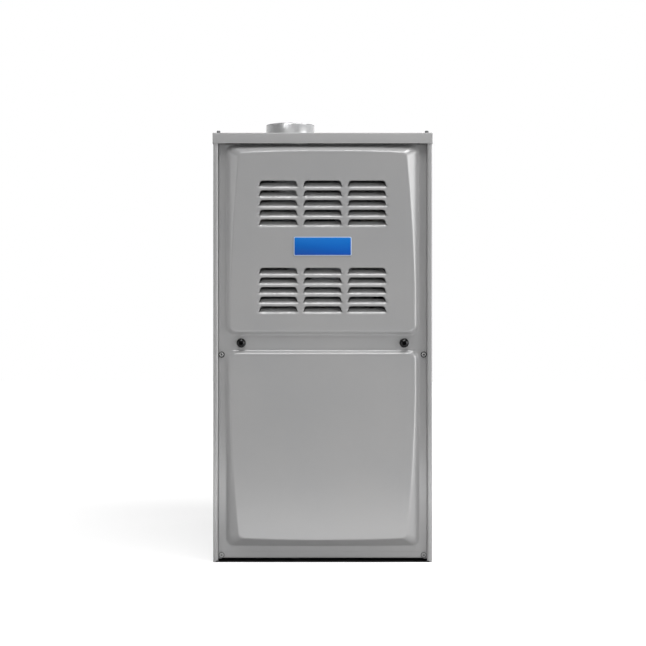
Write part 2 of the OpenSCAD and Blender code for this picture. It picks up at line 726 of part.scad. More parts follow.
// Pipe that feeds the orifices, capped at its left end
module gas_manifold() color("#4a4c4f") difference() {
    union() {
        along_x(manifold_y, burner_z, -rack_x - 14, valve_x0, manifold_r);
        along_x(manifold_y, burner_z, -rack_x - 14, -rack_x - 3, manifold_r + 3);
    }
    along_x(manifold_y, burner_z, -rack_x - 8, valve_x0 + eps, manifold_r - 2.8);
    for (x = [-1, 0, 1]) along_y(x * tube_pitch, burner_z, manifold_y, manifold_y + manifold_r + eps, orifice_r - 2 + fit_gap);
}

// Brass spuds, one for each burner
module orifices() color("#b59a4c") for (x = [-1, 0, 1]) difference() {
    union() {
        along_y(x * tube_pitch, burner_z, manifold_y + manifold_r - 2.5, manifold_y + manifold_r + 2, orifice_r - 2);
        along_y(x * tube_pitch, burner_z, manifold_y + manifold_r + 0.2, manifold_y + manifold_r + 6, orifice_r);
        along_y(x * tube_pitch, burner_z, manifold_y + manifold_r + 5, manifold_y + manifold_r - 2 + orifice_len, orifice_r - 1.5);
    }
    along_y(x * tube_pitch, burner_z, manifold_y + manifold_r - 3, manifold_y + manifold_r + orifice_len, 1.1);
}

valve_knob_x = valve_x0 + 22;
valve_stem_r = 4;
valve_stem_len = 10;

// Gas valve: the cast body, the inlet boss, the regulator tower and the coil
module gas_valve() color("#8e9195") difference() {
    union() {
        span([valve_x0, valve_front, burner_z - valve_h / 2], [valve_x1, valve_front + valve_d, burner_z + valve_h / 2]);
        along_x(manifold_y, burner_z, valve_x1 - 1, valve_x1 + inlet_boss_len, inlet_boss_r);
        translate([valve_x0 + valve_len - 16, manifold_y, burner_z + valve_h / 2 - 1]) cylinder(h = 15, r = 11);
        translate([valve_x0 + 4, manifold_y - 14, burner_z + valve_h / 2 - 1]) cube([26, 28, 19]);
    }
    along_x(manifold_y, burner_z, valve_x1 + inlet_boss_len - gas_thread_len, valve_x1 + inlet_boss_len + eps, gas_thread_r);
    along_x(manifold_y, burner_z, valve_x0 - eps, valve_x0 + 10, manifold_r - 2.8);
    along_y(valve_knob_x, burner_z, valve_front - eps, valve_front + valve_stem_len + 1, valve_stem_r + shaft_gap);
}

// Turn knob on the front of the valve, on its own stem
module gas_valve_knob() color("#1d1e20") {
    along_y(valve_knob_x, burner_z, valve_front - run_gap - 1, valve_front + valve_stem_len, valve_stem_r);
    plate_y(valve_front - run_gap - valve_knob_h, valve_front - run_gap) translate([valve_knob_x, burner_z]) difference() {
        circle(valve_knob_r);
        for (i = [0:11]) rotate(i * 30) translate([valve_knob_r + 0.6, 0]) circle(1.6);
    }
    translate([valve_knob_x - 1.5, valve_front - run_gap - valve_knob_h - 1.5, burner_z])
        cube([3, 3, valve_knob_r - 2]);
}

grommet_r = gas_hole_r - fit_gap;
module gas_grommet() color("#232426") translate([0, manifold_y, burner_z]) rotate([0, 90, 0]) rotate_extrude() polygon([
    [grommet_r - 6, wall_in - 2.5], [grommet_r + 3, wall_in - 2.5], [grommet_r + 3, wall_in - fit_gap],
    [grommet_r, wall_in - fit_gap], [grommet_r, cab_w / 2 + fit_gap], [grommet_r + 1, cab_w / 2 + fit_gap],
    [grommet_r + 1, cab_w / 2 + 1], [grommet_r - 6, cab_w / 2 + 1]]);

probe_offset = burner_head_r + 5;   // distance of a probe from its burner's axis
probe_r = 3;

// Ceramic holder and rod beside a burner's head
module probe(x, holder_r, reach) {
    along_y(x, burner_z, rack_back - 24, rack_back - 1, holder_r);
    along_y(x, burner_z, rack_back - 2, rack_back + sheet + 8, probe_r);
    plate_y(rack_back - 1, rack_back) translate([x, burner_z]) square([2 * holder_r, 4 * holder_r - 6], center = true);
    along_y(x, burner_z, rack_back + sheet + 7, rack_back + sheet + 7 + reach, 1.6);
}

module igniter() color("#e4e0d4") probe(tube_pitch + probe_offset, 4.5, 20);

module flame_sensor() color("#dcd8cc") probe(-tube_pitch - probe_offset, 4, 22);

rollout_y = rack_front + 18;
button_r = 2.5;
button_travel = 1.5;

// Manual-reset thermal switch on top of the rack's right end
module rollout_switch() color("#2a2b2d") difference() {
    union() {
        span([rack_x - 30, rollout_y - 12, rack_top], [rack_x, rollout_y + 12, rack_top + 1]);
        translate([rollout_x - 1, rollout_y, rack_top + 0.5]) cylinder(h = 12.5, r = 9);
    }
    translate([rollout_x - 1, rollout_y, rack_top + 3]) cylinder(h = 12, r = button_r + shaft_gap);
}

// Red button of the rollout switch, pressed down to reset it
module reset_button() color("#b02a24") translate([rollout_x - 1, rollout_y, rack_top + 3 + button_travel + run_gap])
    union() {
        cylinder(h = 11, r = button_r);
        translate([0, 0, 10]) cylinder(h = 2, r = button_r + 1);
    }

limit_x = wall_in - 48;
limit_z = burner_z + 84;
limit_r = 8;

// Snap disc that senses the air behind the vestibule panel
module limit_switch() color("#303134") {
    along_y(limit_x, limit_z, vest_front - 10, vest_y + 24, limit_r);
    plate_y(vest_front - 1.2, vest_front) translate([limit_x, limit_z]) square([44, 20], center = true);
    for (x = [-4, 4]) translate([limit_x + x - 0.4, vest_front - 18, limit_z - 3]) cube([0.8, 9, 6]);
}

pressure_x = wall_in - 42;
pressure_z = top_pass_z + 62;
hose_r = 3.2;
hose_z = top_pass_z;
hose_y = (inducer_back + vest_front) / 2;

// Round diaphragm switch on the vestibule panel, with a nipple on its underside
module pressure_switch() color("#3a3c40") {
    along_y(pressure_x, pressure_z, vest_front - pressure_t, vest_front, pressure_r);
    along_y(pressure_x, pressure_z, vest_front - pressure_t - 9, vest_front - pressure_t + 1, pressure_r - 14);
    plate_y(vest_front - 1.5, vest_front) translate([pressure_x, pressure_z])
        square([2 * pressure_r + 14, 22], center = true);
}

// Rubber hose from the collector box's side to the pressure switch's underside
module pressure_hose() color("#8a3a30") {
    hose_x = pressure_x;
    along_x(hose_y, hose_z, collector_x - 3, hose_x, hose_r);
    translate([hose_x, hose_y, hose_z]) sphere(hose_r);
    translate([hose_x, hose_y, hose_z]) cylinder(h = pressure_z - hose_z, r = hose_r);
    translate([hose_x, hose_y, pressure_z]) sphere(hose_r);
    along_y(hose_x, pressure_z, hose_y, vest_front - pressure_t - 9, hose_r);
}

// ---------------------------------------------------------------- controls

junction_y = front + 70;
junction_z = deck_top + junction_h / 2;

// Open steel box on the left wall, where the mains comes in
module junction_box() color("#b4b6b8") difference() {
    span([-wall_in, junction_y - junction_w / 2, deck_top],
        [-wall_in + junction_d, junction_y + junction_w / 2, deck_top + junction_h]);
    span([-wall_in - eps, junction_y - junction_w / 2 - eps, deck_top + sheet],
        [-wall_in + junction_d - sheet, junction_y + junction_w / 2 - sheet, deck_top + junction_h - sheet]);
    along_y(-wall_in + junction_d / 2, junction_z, junction_y + junction_w / 2 - sheet - eps,
        junction_y + junction_w / 2 + eps, 8);
}

module junction_cover() color("#a9abad") {
    span([-wall_in + fit_gap, junction_y - junction_w / 2 - sheet, deck_top],
        [-wall_in + junction_d, junction_y - junction_w / 2, deck_top + junction_h]);
    along_y(-wall_in + junction_d / 2, junction_z, junction_y - junction_w / 2 - sheet - 2,
        junction_y - junction_w / 2 - sheet, 3.5);
}

panel_x1 = -wall_in + fit_gap + panel_w;

// Panel hung from the deck and the left wall, which carries the electrical parts
module control_panel() color("#b4b6b8") {
    span([-wall_in + fit_gap, panel_y, deck_z - panel_h], [panel_x1, panel_y + sheet, deck_z]);
    span([-wall_in + fit_gap, panel_y, deck_z - sheet], [panel_x1, panel_y + panel_fold_w, deck_z]);
    span([-wall_in + fit_gap, panel_y, deck_z - panel_h], [-wall_in + fit_gap + sheet, panel_y + panel_fold_w, deck_z]);
}

board_x0 = -wall_in + 10;
board_z0 = deck_z - panel_h + 22;
board_y = panel_y - standoff_h;
board_t = 1.6;
board_front = board_y - board_t;
board_edge = 8;                         // from the board's edges to its stand-offs
relay_pitch = relay_w + 6;
relay_x0 = board_x0 + board_edge + 6;
relay_z0 = board_z0 + board_h - board_edge - relay_h - 11;
header_z0 = board_z0 + board_edge + 4;
terminal_z = (header_z0 + header_h + relay_z0) / 2; // row of terminals between the header and the relays

// Control board on four stand-offs, with its relays, connectors and fuse
module control_board() color("#2f6b45") {
    span([board_x0, board_front, board_z0], [board_x0 + board_w, board_y, board_z0 + board_h]);
    for (x = [board_edge, board_w - board_edge], z = [board_edge, board_h - board_edge])
        along_y(board_x0 + x, board_z0 + z, board_y - 0.5, panel_y, 3);
    for (i = [0:2]) translate([relay_x0 + i * relay_pitch, board_front - relay_d, relay_z0])
        cube([relay_w, relay_d + 0.5, relay_h]);
    translate([relay_x0, board_front - header_d, header_z0]) cube([header_l, header_d + 0.5, header_h]);
    translate([board_x0 + board_w - 4 * header_h, board_front - header_d, header_z0])
        cube([header_h, header_d + 0.5, side_header_l]);
    translate([board_x0 + board_w - board_edge - fuse_w, board_front - header_d, header_z0 + fuse_w / 2])
        cube([fuse_w - 2, header_d + 0.5, fuse_l]);
    for (i = [0:5]) along_y(relay_x0 + terminal_pitch * (i + 1), terminal_z, board_front - terminal_h, board_front + 0.5, terminal_r);
}

transformer_x = (board_x0 + board_w + panel_x1) / 2 - 1;
transformer_z = deck_z - core_h - core_foot_h + 6;

// Laminated core with a coil through it, on two feet
module transformer() color("#4c4a48") translate([transformer_x, panel_y, transformer_z]) {
    translate([-core_w / 2, -core_d - 4, -core_h / 2]) cube([core_w, core_d + 4, core_h]);
    translate([-coil_w / 2, -coil_d, -coil_h / 2]) cube([coil_w, coil_d, coil_h]);
    for (z = [-core_h / 2 - core_foot_h + 4, core_h / 2 - 4]) translate([-core_w / 2, -2, z]) cube([core_w, 2, core_foot_h]);
}

// Oval can of the blower motor's capacitor, held by a strap
module run_capacitor() color("#bfc1c3") translate([transformer_x, panel_y - can_r - 1, deck_z - panel_h + 8]) {
    for (x = [-can_half_w, can_half_w]) translate([x, 0, 0]) cylinder(h = can_h, r = can_r);
    translate([-can_half_w, -can_r, 0]) cube([2 * can_half_w, 2 * can_r, can_h]);
    translate([-strap_w / 2, can_r - 1, can_h / 3]) cube([strap_w, 2, strap_h]);
    for (x = [-can_half_w, can_half_w]) translate([x - 0.5, -3, can_h - 1]) cube([1, 6, 9]);
}

switch_x = panel_x1 + 20;
switch_front = behind_y + 2;
switch_z = deck_z - switch_h / 2;
plunger_tip = margin_y - bulge_shallow + sheet + run_gap; // just behind the lower door's skin

// Door switch under the deck, which cuts the power when the lower door comes off
module door_switch() color("#26272a") difference() {
    union() {
        span([switch_x - switch_w / 2, switch_front, deck_z - switch_h], [switch_x + switch_w / 2, switch_front + switch_l, deck_z]);
        along_y(switch_x, switch_z, switch_front - 2, switch_front + 1, plunger_r + 3);
    }
    along_y(switch_x, switch_z, switch_front - 2 - eps, switch_front + switch_l - 4, plunger_r + shaft_gap);
}

module switch_plunger() color("#d8d3c4") {
    along_y(switch_x, switch_z, plunger_tip + 2, switch_front + switch_l - 6, plunger_r);
    translate([switch_x, plunger_tip + 2, switch_z]) rotate([90, 0, 0]) cylinder(h = 2, r1 = plunger_r, r2 = plunger_r - 1.2);
}

harness_x = -wall_in + junction_d + 4 * harness_r;
harness_y = panel_y - harness_r - 1;
harness_end_z = burner_z + burner_head_r + 40;

// Bundle of wires from the control board up through the deck, and across to the inducer
module wire_harness() color("#303033") {
    translate([harness_x, harness_y, board_z0 + board_h + 4]) cylinder(h = harness_end_z - board_z0 - board_h - 4, r = harness_r);
    translate([harness_x, harness_y, board_z0 + board_h + 4]) sphere(harness_r);
    translate([harness_x, harness_y, harness_end_z]) sphere(harness_r);
    along_x(harness_y, harness_end_z, harness_x, -inducer_motor_r + 8, harness_r);
    translate([-inducer_motor_r + 8, harness_y, harness_end_z]) sphere(harness_r);
    translate([-inducer_motor_r + 8, harness_y, harness_end_z])
        cylinder(h = inducer_z - inducer_motor_r - harness_end_z + 4, r = harness_r);
}

// ---------------------------------------------------------------- blower

motor_x0 = 10;                      // face of the motor nearest the wheel's disc
rail_x0 = housing_w / 2 + 4;
rail_x1 = rail_x0 + rail_lip_w;
rail_z = deck_z - rail_drop;        // underside of the rails

module yz_plate(x0, x1) translate([x0, blower_y, blower_z]) rotate([90, 0, 90]) linear_extrude(x1 - x0) children();

// Scroll of the blower with an inlet ring on each side and runners along its outlet
module blower_housing() color("#b7b9bb") {
    difference() {
        yz_plate(-housing_w / 2, housing_w / 2)
            polygon(scroll_points(scroll_r0, scroll_r1, scroll_outlet, blower_drop, 0));
        yz_plate(-housing_w / 2 + sheet, housing_w / 2 - sheet)
            polygon(scroll_points(scroll_r0, scroll_r1, scroll_outlet, blower_drop + eps, sheet));
        along_x(blower_y, blower_z, -housing_w / 2 - eps, housing_w / 2 + eps, inlet_r + sheet);
    }
    both_sides() {
        yz_plate(housing_w / 2 - 12, housing_w / 2) ring(inlet_r, inlet_r + sheet);
        span([housing_w / 2 - sheet / 2, blower_y - scroll_r1, rail_z + sheet],
            [rail_x1 - sheet - 1, blower_y - scroll_r1 + scroll_outlet, rail_z + 2 * sheet]);
    }
}

// Channels under the deck that the blower's runners slide in
module blower_rails() color("#a9abad") both_sides() {
    span([rail_x0, blower_y - scroll_r1 - 20, deck_z - sheet], [rail_x1, blower_y - scroll_r1 + scroll_outlet + 20, deck_z]);
    span([rail_x1 - sheet, blower_y - scroll_r1 - 20, rail_z], [rail_x1, blower_y - scroll_r1 + scroll_outlet + 20, deck_z]);
    span([rail_x0, blower_y - scroll_r1 - 20, rail_z], [rail_x1, blower_y - scroll_r1 + scroll_outlet + 20, rail_z + sheet]);
}

// Double-inlet wheel: forward-curved blades between two rims, on a disc and hub
module blower_wheel() color("#c2c4c6") {
    yz_plate(-wheel_w / 2, wheel_w / 2) blade_ring(wheel_r - blade_d, wheel_r - 0.6, blade_n, blade_t, 32);
    for (x = [-wheel_w / 2, -2, wheel_w / 2 - 4]) yz_plate(x, x + 4) ring(wheel_r - blade_d - 1, wheel_r);
    yz_plate(-1, 1) ring(motor_shaft_r, wheel_r - blade_d + 2);
    yz_plate(-16, motor_x0 - 3) ring(motor_shaft_r, hub_r);
}

module motor_shaft() color("#cfd0d2")
    along_x(blower_y, blower_z, -24, motor_x0 + motor_len - 20, motor_shaft_r);

// Blower motor: a can with a domed end bell and cooling slots
module blower_motor() color("#2f3134") difference() {
    union() {
        along_x(blower_y, blower_z, motor_x0 + 8, motor_x0 + motor_len, motor_r);
        along_x(blower_y, blower_z, motor_x0, motor_x0 + 9, motor_r - 10);
        along_x(blower_y, blower_z, motor_x0 + motor_len - 1, motor_x0 + motor_len + 7, motor_r - 14);
    }
    along_x(blower_y, blower_z, motor_x0 - eps, motor_x0 + motor_len - 18, motor_shaft_r + shaft_gap);
    translate([0, blower_y, blower_z]) for (i = [0:11]) rotate([i * 30, 0, 0])
        translate([motor_x0 + 16, -4, motor_r - 4]) cube([26, 8, 6]);
}

// Band round the motor and three arms to the housing's right side
module motor_mount() color("#8d8f91") {
    difference() {
        along_x(blower_y, blower_z, housing_w / 2 - 8, housing_w / 2 + mount_bar_w - 8, motor_r + fit_gap + mount_bar_t);
        along_x(blower_y, blower_z, housing_w / 2 - 9, housing_w / 2 + mount_bar_w, motor_r + fit_gap);
    }
    for (i = [0:2]) translate([housing_w / 2, blower_y, blower_z]) rotate([i * 120 + 60, 0, 0])
        translate([0, -mount_bar_w / 2, motor_r + fit_gap + mount_bar_t / 2])
            cube([mount_bar_t, mount_bar_w, inlet_r + 12 - motor_r]);
}

// ---------------------------------------------------------------- doors

function clamp01(t) = max(0, min(1, t));
function bulge_depth(t) = bulge_shallow
    + (bulge_deep - bulge_shallow) * pow(clamp01((t - sweep_start) / (1 - sweep_start)), sweep_power);

// Side profile of a bulge of the given length: u in front of the margin, v up from the shallow end.
// grow moves the skin outwards, and a negative grow gives the inside of the sheet.
profile_steps = 14;
function wall_shift(run, depth, grow) = grow * sqrt(run * run + depth * depth) / depth;
function bulge_profile(length, grow) =
    let (
        v0 = -wall_shift(shallow_run, bulge_shallow, grow),
        v1 = length + wall_shift(deep_run, bulge_deep, grow),
        c0 = v0 + shallow_run * (bulge_shallow + grow) / bulge_shallow,
        c1 = v1 - deep_run * (bulge_deep + grow) / bulge_deep,
        crown_l = length - shallow_run - deep_run
    ) concat(
        [[-sheet - eps, v0], [0, v0]],
        [for (i = [0:profile_steps]) let (v = c0 + (c1 - c0) * i / profile_steps)
            [bulge_depth((v - shallow_run) / crown_l) + grow, v]],
        [[0, v1], [-sheet - eps, v1]]);

// Solid form of a bulge that starts at z = 0, with the margin's outer face at y = 0
module bulge_form(length, grow) intersection() {
    translate([-cab_w / 2, 0, 0]) rotate([90, 0, 90]) linear_extrude(cab_w)
        polygon([for (p = bulge_profile(length, grow)) [-p[0], p[1]]]);
    side = bulge_x + grow * sqrt(1 + bulge_slope * bulge_slope);
    translate([0, 0, -length]) linear_extrude(3 * length) polygon([
        [-side, sheet + eps], [-side, 0], [-side + bulge_slope * (bulge_deep + 2), -bulge_deep - 2],
        [side - bulge_slope * (bulge_deep + 2), -bulge_deep - 2], [side, 0], [side, sheet + eps]]);
    plate_y(-bulge_deep - 2, sheet + eps) translate([0, length / 2])
        rounded_rect(2 * (bulge_x + grow), length + 2 * grow, bulge_corner_r + grow);
}

// Pressed door panel: a flat margin round a bulge that deepens away from the seam
module door_panel(height, seam_margin, far_margin) {
    length = height - seam_margin - far_margin;
    difference() {
        union() {
            plate_y(0, sheet) translate([0, height / 2]) square([2 * door_x, height], center = true);
            translate([0, 0, seam_margin]) bulge_form(length, 0);
        }
        translate([0, 0, seam_margin]) bulge_form(length, -sheet);
        translate([-cab_w / 2, sheet, -1]) cube([cab_w, bulge_deep, height + 2]);
    }
}

upper_h = upper_z1 - upper_z0;
lower_h = seam_z - lower_z0;
upper_bulge_l = upper_h - strip_h - top_margin_h;
louver_pitch_z = upper_bulge_l / louver_row_fill;
lower_group_z = upper_bulge_l * lower_group_share;
upper_group_z = upper_bulge_l * upper_group_share;
function upper_crown(v) = bulge_depth((v - shallow_run) / (upper_bulge_l - shallow_run - deep_run));
louver_z = [for (group = [lower_group_z, upper_group_z], row = [0:louver_rows - 1]) group + row * louver_pitch_z];
louver_x = [for (i = [0:louver_columns - 1]) (i - (louver_columns - 1) / 2) * louver_pitch_x];

// Outline of a louver, wider at its fold, with grow added on its free edges
module louver_outline(grow) polygon([
    [-louver_w / 2, 0], [louver_w / 2, 0],
    [louver_w / 2 + grow, louver_slit], [louver_w / 2 - louver_taper + grow, louver_h * 0.8],
    [louver_w / 2 - louver_taper - louver_h * 0.2 + grow, louver_h + grow],
    [-louver_w / 2 + louver_taper + louver_h * 0.2 - grow, louver_h + grow],
    [-louver_w / 2 + louver_taper - grow, louver_h * 0.8], [-louver_w / 2 - grow, louver_slit]]);

// Upper door with its louvers: tabs cut on three sides and bent inwards about their lower edge
module upper_door() color("#a4a4a5") translate([0, margin_y, upper_z0]) {
    difference() {
        door_panel(upper_h, strip_h, top_margin_h);
        for (x = louver_x, z = louver_z) translate([x, 0, strip_h + z])
            plate_y(-upper_crown(z) - 4, -upper_crown(z) + 5) louver_outline(0);
        both_sides() along_y(knob_x, knob_rise, -eps, sheet + eps, knob_stud_r + shaft_gap);
    }
    for (x = louver_x, z = louver_z) translate([x, sheet - upper_crown(z), strip_h + z]) rotate([-louver_angle, 0, 0])
        translate([0, -sheet / 2, 0]) plate_y(-sheet / 2, sheet / 2) translate([0, -0.6]) louver_outline(-0.4);
}

badge_v = (lower_group_z + upper_group_z + louver_h + (louver_rows - 1) * louver_pitch_z) / 2;

// Blank plate between the louver groups, following the door's face
module badge_plate() color("#1b5fb0") translate([0, margin_y, upper_z0 + strip_h]) intersection() {
    difference() {
        bulge_form(upper_bulge_l, badge_t);
        bulge_form(upper_bulge_l, 0);
    }
    plate_y(-bulge_deep - badge_t, 0) translate([0, badge_v]) rounded_rect(badge_w, badge_h, badge_r);
}

// Lower door: the same pressing upside down, deepest at the floor
module lower_door() color("#a4a4a5") translate([0, margin_y, seam_z]) mirror([0, 0, 1]) difference() {
    door_panel(lower_h, 0, bottom_margin_h);
    both_sides() along_y(screw_x, door_screw_drop, -eps, sheet + eps, screw_r + fit_gap);
}

stud_end = crossbar_back + receiver_t - 1;

// Quarter-turn knob: a flange, a ribbed grip with a dome, and the stud that locks in the receiver
module knob() color("#151517") {
    along_y(knob_x, knob_z, margin_y - 1, stud_end, knob_stud_r);
    along_y(knob_x, knob_z, margin_y - run_gap - 2.5, margin_y - run_gap, knob_r);
    along_y(knob_x, knob_z, margin_y - run_gap - knob_h + 1.5, margin_y - run_gap - 2, knob_r - 1.6);
    plate_y(margin_y - run_gap - knob_h, margin_y - run_gap - knob_h + 2) translate([knob_x, knob_z]) circle(knob_r - 3, $fn = 6);
}

module left_knob() mirror([1, 0, 0]) knob();
module right_knob() knob();

// Spring sockets behind the crossbar, one for each knob's stud
module latch_receivers() color("#8d8f91") both_sides() difference() {
    translate([knob_x - receiver_w / 2, crossbar_back, knob_z - receiver_w / 2]) cube([receiver_w, receiver_t, receiver_w]);
    along_y(knob_x, knob_z, crossbar_back - eps, crossbar_back + receiver_t + eps, knob_stud_r + run_gap);
}

// ---------------------------------------------------------------- small parts

// Screw with a washer face and a six-sided head. It points along +Z from z = 0.
module screw(length) {
    translate([0, 0, -1]) cylinder(h = length + 1, r = screw_r);
    translate([0, 0, -washer_t]) cylinder(h = washer_t, r = washer_r);
    translate([0, 0, -washer_t - screw_head_h]) cylinder(h = screw_head_h + 0.2, r = screw_head_r, $fn = 6);
}

// Screws held in the lower door's side margins
module door_screws() color("#9a9b9d") both_sides()
    translate([screw_x, margin_y, seam_z - door_screw_drop]) rotate([-90, 0, 0]) screw(door_screw_l);

module base_screws() color("#9a9b9d") both_sides()
    translate([screw_x, landing_y - sheet, rail_top / 2 + base_gap / 2]) rotate([-90, 0, 0]) screw(screw_l);

module cap_screws() color("#5c5d5f") both_sides() translate([cap_screw_x, cap_screw_y, cab_h]) {
    translate([0, 0, -screw_l]) cylinder(h = screw_l + 1, r = screw_r);
    cylinder(h = cap_screw_head_h, r = cap_screw_head_r, $fn = 6);
}

// Domed plug in the left wall's spare hole
module side_plug() color("#8c8c8e") translate([-cab_w / 2, front + side_plug_y, side_plug_z]) rotate([0, -90, 0]) rotate_extrude()
    polygon([[0, -sheet - 4], [side_plug_r - 2.6, -sheet - 4], [side_plug_r - 2, -sheet - 1], [side_plug_r - 2, 0],
        [side_plug_r, 0], [side_plug_r, 0.8], [side_plug_r - 1.6, 2], [side_plug_r - 4, 2.6], [0, 2.6]]);

cabinet_wrapper();
top_cap();
base_pan();
blower_deck();
vestibule_panel();
insulation_liner();
heat_exchanger(-tube_pitch);  // heat_exchanger_left
heat_exchanger(0);  // heat_exchanger_middle
heat_exchanger(tube_pitch);  // heat_exchanger_right
collector_box();
inducer_housing();
inducer_motor();
inducer_wheel();
inducer_shaft();
cooling_fan();
flue_pipe();
flue_collar();
burner_rack();
burner(-tube_pitch);  // burner_left
burner(0);  // burner_middle
burner(tube_pitch);  // burner_right
gas_manifold();
orifices();
gas_valve();
gas_valve_knob();
gas_grommet();
igniter();
flame_sensor();
rollout_switch();
reset_button();
limit_switch();
pressure_switch();
pressure_hose();
junction_box();
junction_cover();
control_panel();
control_board();
transformer();
run_capacitor();
door_switch();
switch_plunger();
wire_harness();
blower_housing();
blower_rails();
blower_wheel();
motor_shaft();
blower_motor();
motor_mount();
upper_door();
badge_plate();
left_knob();
right_knob();
latch_receivers();
lower_door();
door_screws();
base_screws();
cap_screws();
side_plug();
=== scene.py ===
# Forced-air gas furnace: a grey sheet-steel cabinet with pressed doors, louvers, knobs and a flue collar.
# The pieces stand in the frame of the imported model, with the doors facing -Y and Z up. Their sizes are
# written in millimetres, and those of the camera, the floor and the lights in metres.
import json
import math

import bmesh
import bpy
import numpy as np
from mathutils import Matrix, Vector
from mathutils.geometry import delaunay_2d_cdt


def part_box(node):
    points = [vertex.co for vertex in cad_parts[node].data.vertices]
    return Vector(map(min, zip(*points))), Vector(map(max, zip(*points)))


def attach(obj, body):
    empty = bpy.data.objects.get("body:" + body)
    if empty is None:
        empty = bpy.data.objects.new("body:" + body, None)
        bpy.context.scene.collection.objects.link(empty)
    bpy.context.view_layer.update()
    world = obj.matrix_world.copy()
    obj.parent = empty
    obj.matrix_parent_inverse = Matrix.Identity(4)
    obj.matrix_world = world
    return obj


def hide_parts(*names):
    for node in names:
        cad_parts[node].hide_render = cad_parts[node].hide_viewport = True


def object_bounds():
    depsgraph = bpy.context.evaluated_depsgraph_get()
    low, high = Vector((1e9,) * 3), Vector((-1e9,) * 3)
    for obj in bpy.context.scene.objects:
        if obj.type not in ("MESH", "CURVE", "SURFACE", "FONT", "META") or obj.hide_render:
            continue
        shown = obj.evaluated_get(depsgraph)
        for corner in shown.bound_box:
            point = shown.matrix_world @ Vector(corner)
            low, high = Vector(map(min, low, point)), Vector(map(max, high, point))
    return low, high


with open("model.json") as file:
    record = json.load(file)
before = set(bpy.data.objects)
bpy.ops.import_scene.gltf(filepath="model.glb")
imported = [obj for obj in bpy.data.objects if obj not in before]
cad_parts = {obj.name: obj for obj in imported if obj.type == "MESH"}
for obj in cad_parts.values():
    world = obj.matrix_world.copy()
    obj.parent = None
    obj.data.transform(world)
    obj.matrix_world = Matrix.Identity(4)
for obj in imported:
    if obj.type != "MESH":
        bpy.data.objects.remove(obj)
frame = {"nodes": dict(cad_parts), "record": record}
cad_low, cad_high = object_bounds()
scene = bpy.context.scene
scene.view_settings.view_transform = "Standard"

# ---- Camera
# The photograph is a level view, straight from the front, from about 3 m away and a little over mid height.
# Its frame is square and 646 pixels wide, and one pixel is 2.018 mm in the plane of the cabinet's front.
front_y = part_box("cabinet_wrapper")[0].y
camera_data = bpy.data.cameras.new("camera")
camera_data.sensor_width = 36.0
camera_data.lens = 84.5
camera = bpy.data.objects.new("camera", camera_data)
scene.collection.objects.link(camera)
camera.location = (0.0007, front_y - 3.06, 0.483)
camera.rotation_euler = (math.radians(90), 0, 0)
scene.camera = camera


# ---- Floor, backdrop and light
# A white floor that fades into the white surround, with a painted shadow where the cabinet stands on it:
# there its colour is dark and its white lift is left out. A tall soft light stands on the right and a
# weaker one on the left, a wide one hangs over the front, and two weak ones fill in from the front and
# from below.
MM = 0.001
WHITE = (1, 1, 1, 1)


def add(tree, kind, inputs=(), **settings):
    """A node of a tree: its settings, and its inputs set to values or fed by sockets."""
    node = tree.nodes.new(kind)
    for key, value in settings.items():
        setattr(node, key, value)
    for key, value in dict(inputs).items():
        if isinstance(value, bpy.types.NodeSocket):
            tree.links.new(value, node.inputs[key])
        else:
            node.inputs[key].default_value = value
    return node


def maths(tree, operation, *values):
    """A math node fed with sockets or numbers; its output socket."""
    return add(tree, "ShaderNodeMath", enumerate(values), operation=operation).outputs[0]


def on_piece(tree):
    """The place on the piece, as a socket."""
    return add(tree, "ShaderNodeTexCoord").outputs["Object"]


def new_material(name):
    """A node material and its tree, with the tree emptied of all but its output."""
    material = bpy.data.materials.new(name)
    material.use_nodes = True
    tree = material.node_tree
    for node in list(tree.nodes):
        if node.type != "OUTPUT_MATERIAL":
            tree.nodes.remove(node)
    return material, tree


def show_shader(tree, shader):
    """Joins a shader to the material's output."""
    tree.links.new(shader.outputs[0], tree.nodes["Material Output"].inputs["Surface"])


def mesh_object(name, verts, faces, scale=MM):
    """A linked mesh object, from corners in millimetres."""
    mesh = bpy.data.meshes.new(name)
    mesh.from_pydata([Vector(v) * scale for v in verts], [], faces)
    mesh.update()
    obj = bpy.data.objects.new(name, mesh)
    scene.collection.objects.link(obj)
    return obj


FLOOR_HALF = 9.0
FLOOR_TONE = 0.62
PAINTED_SHADOW_TONE = 0.06
PAINTED_SHADOW_INSET = 0.002
corners = [(x * FLOOR_HALF, y * FLOOR_HALF, 0) for x, y in ((-1, -1), (1, -1), (1, 1), (-1, 1))]
floor = mesh_object("floor", corners, [(0, 1, 2, 3)], scale=1.0)
floor_paint, tree = new_material("floor_white")
where = on_piece(tree)
spot = add(tree, "ShaderNodeSeparateXYZ", {0: where}).outputs
middle_y = front_y / 2 + cad_high.y / 2
# Painted shadow: a mask of the cabinet's footprint, where the floor's colour drops to a dark tone.
across = maths(tree, "LESS_THAN", maths(tree, "ABSOLUTE", spot["X"]), cad_high.x - PAINTED_SHADOW_INSET)
from_middle = maths(tree, "ABSOLUTE", maths(tree, "SUBTRACT", spot["Y"], middle_y))
deep = maths(tree, "LESS_THAN", from_middle, middle_y - front_y - PAINTED_SHADOW_INSET)
painted_shadow_mask = maths(tree, "MULTIPLY", across, deep)
darker = maths(tree, "MULTIPLY", painted_shadow_mask, FLOOR_TONE - PAINTED_SHADOW_TONE)
surface = add(tree, "ShaderNodeBsdfDiffuse", {"Color": maths(tree, "SUBTRACT", FLOOR_TONE, darker)})
away = add(tree, "ShaderNodeVectorMath", {0: where}, operation="LENGTH").outputs["Value"]
whiter = add(tree, "ShaderNodeMapRange", {
    "Value": away, "From Min": 0.6, "From Max": 3.0, "To Min": 0.6, "To Max": 1.0}).outputs["Result"]
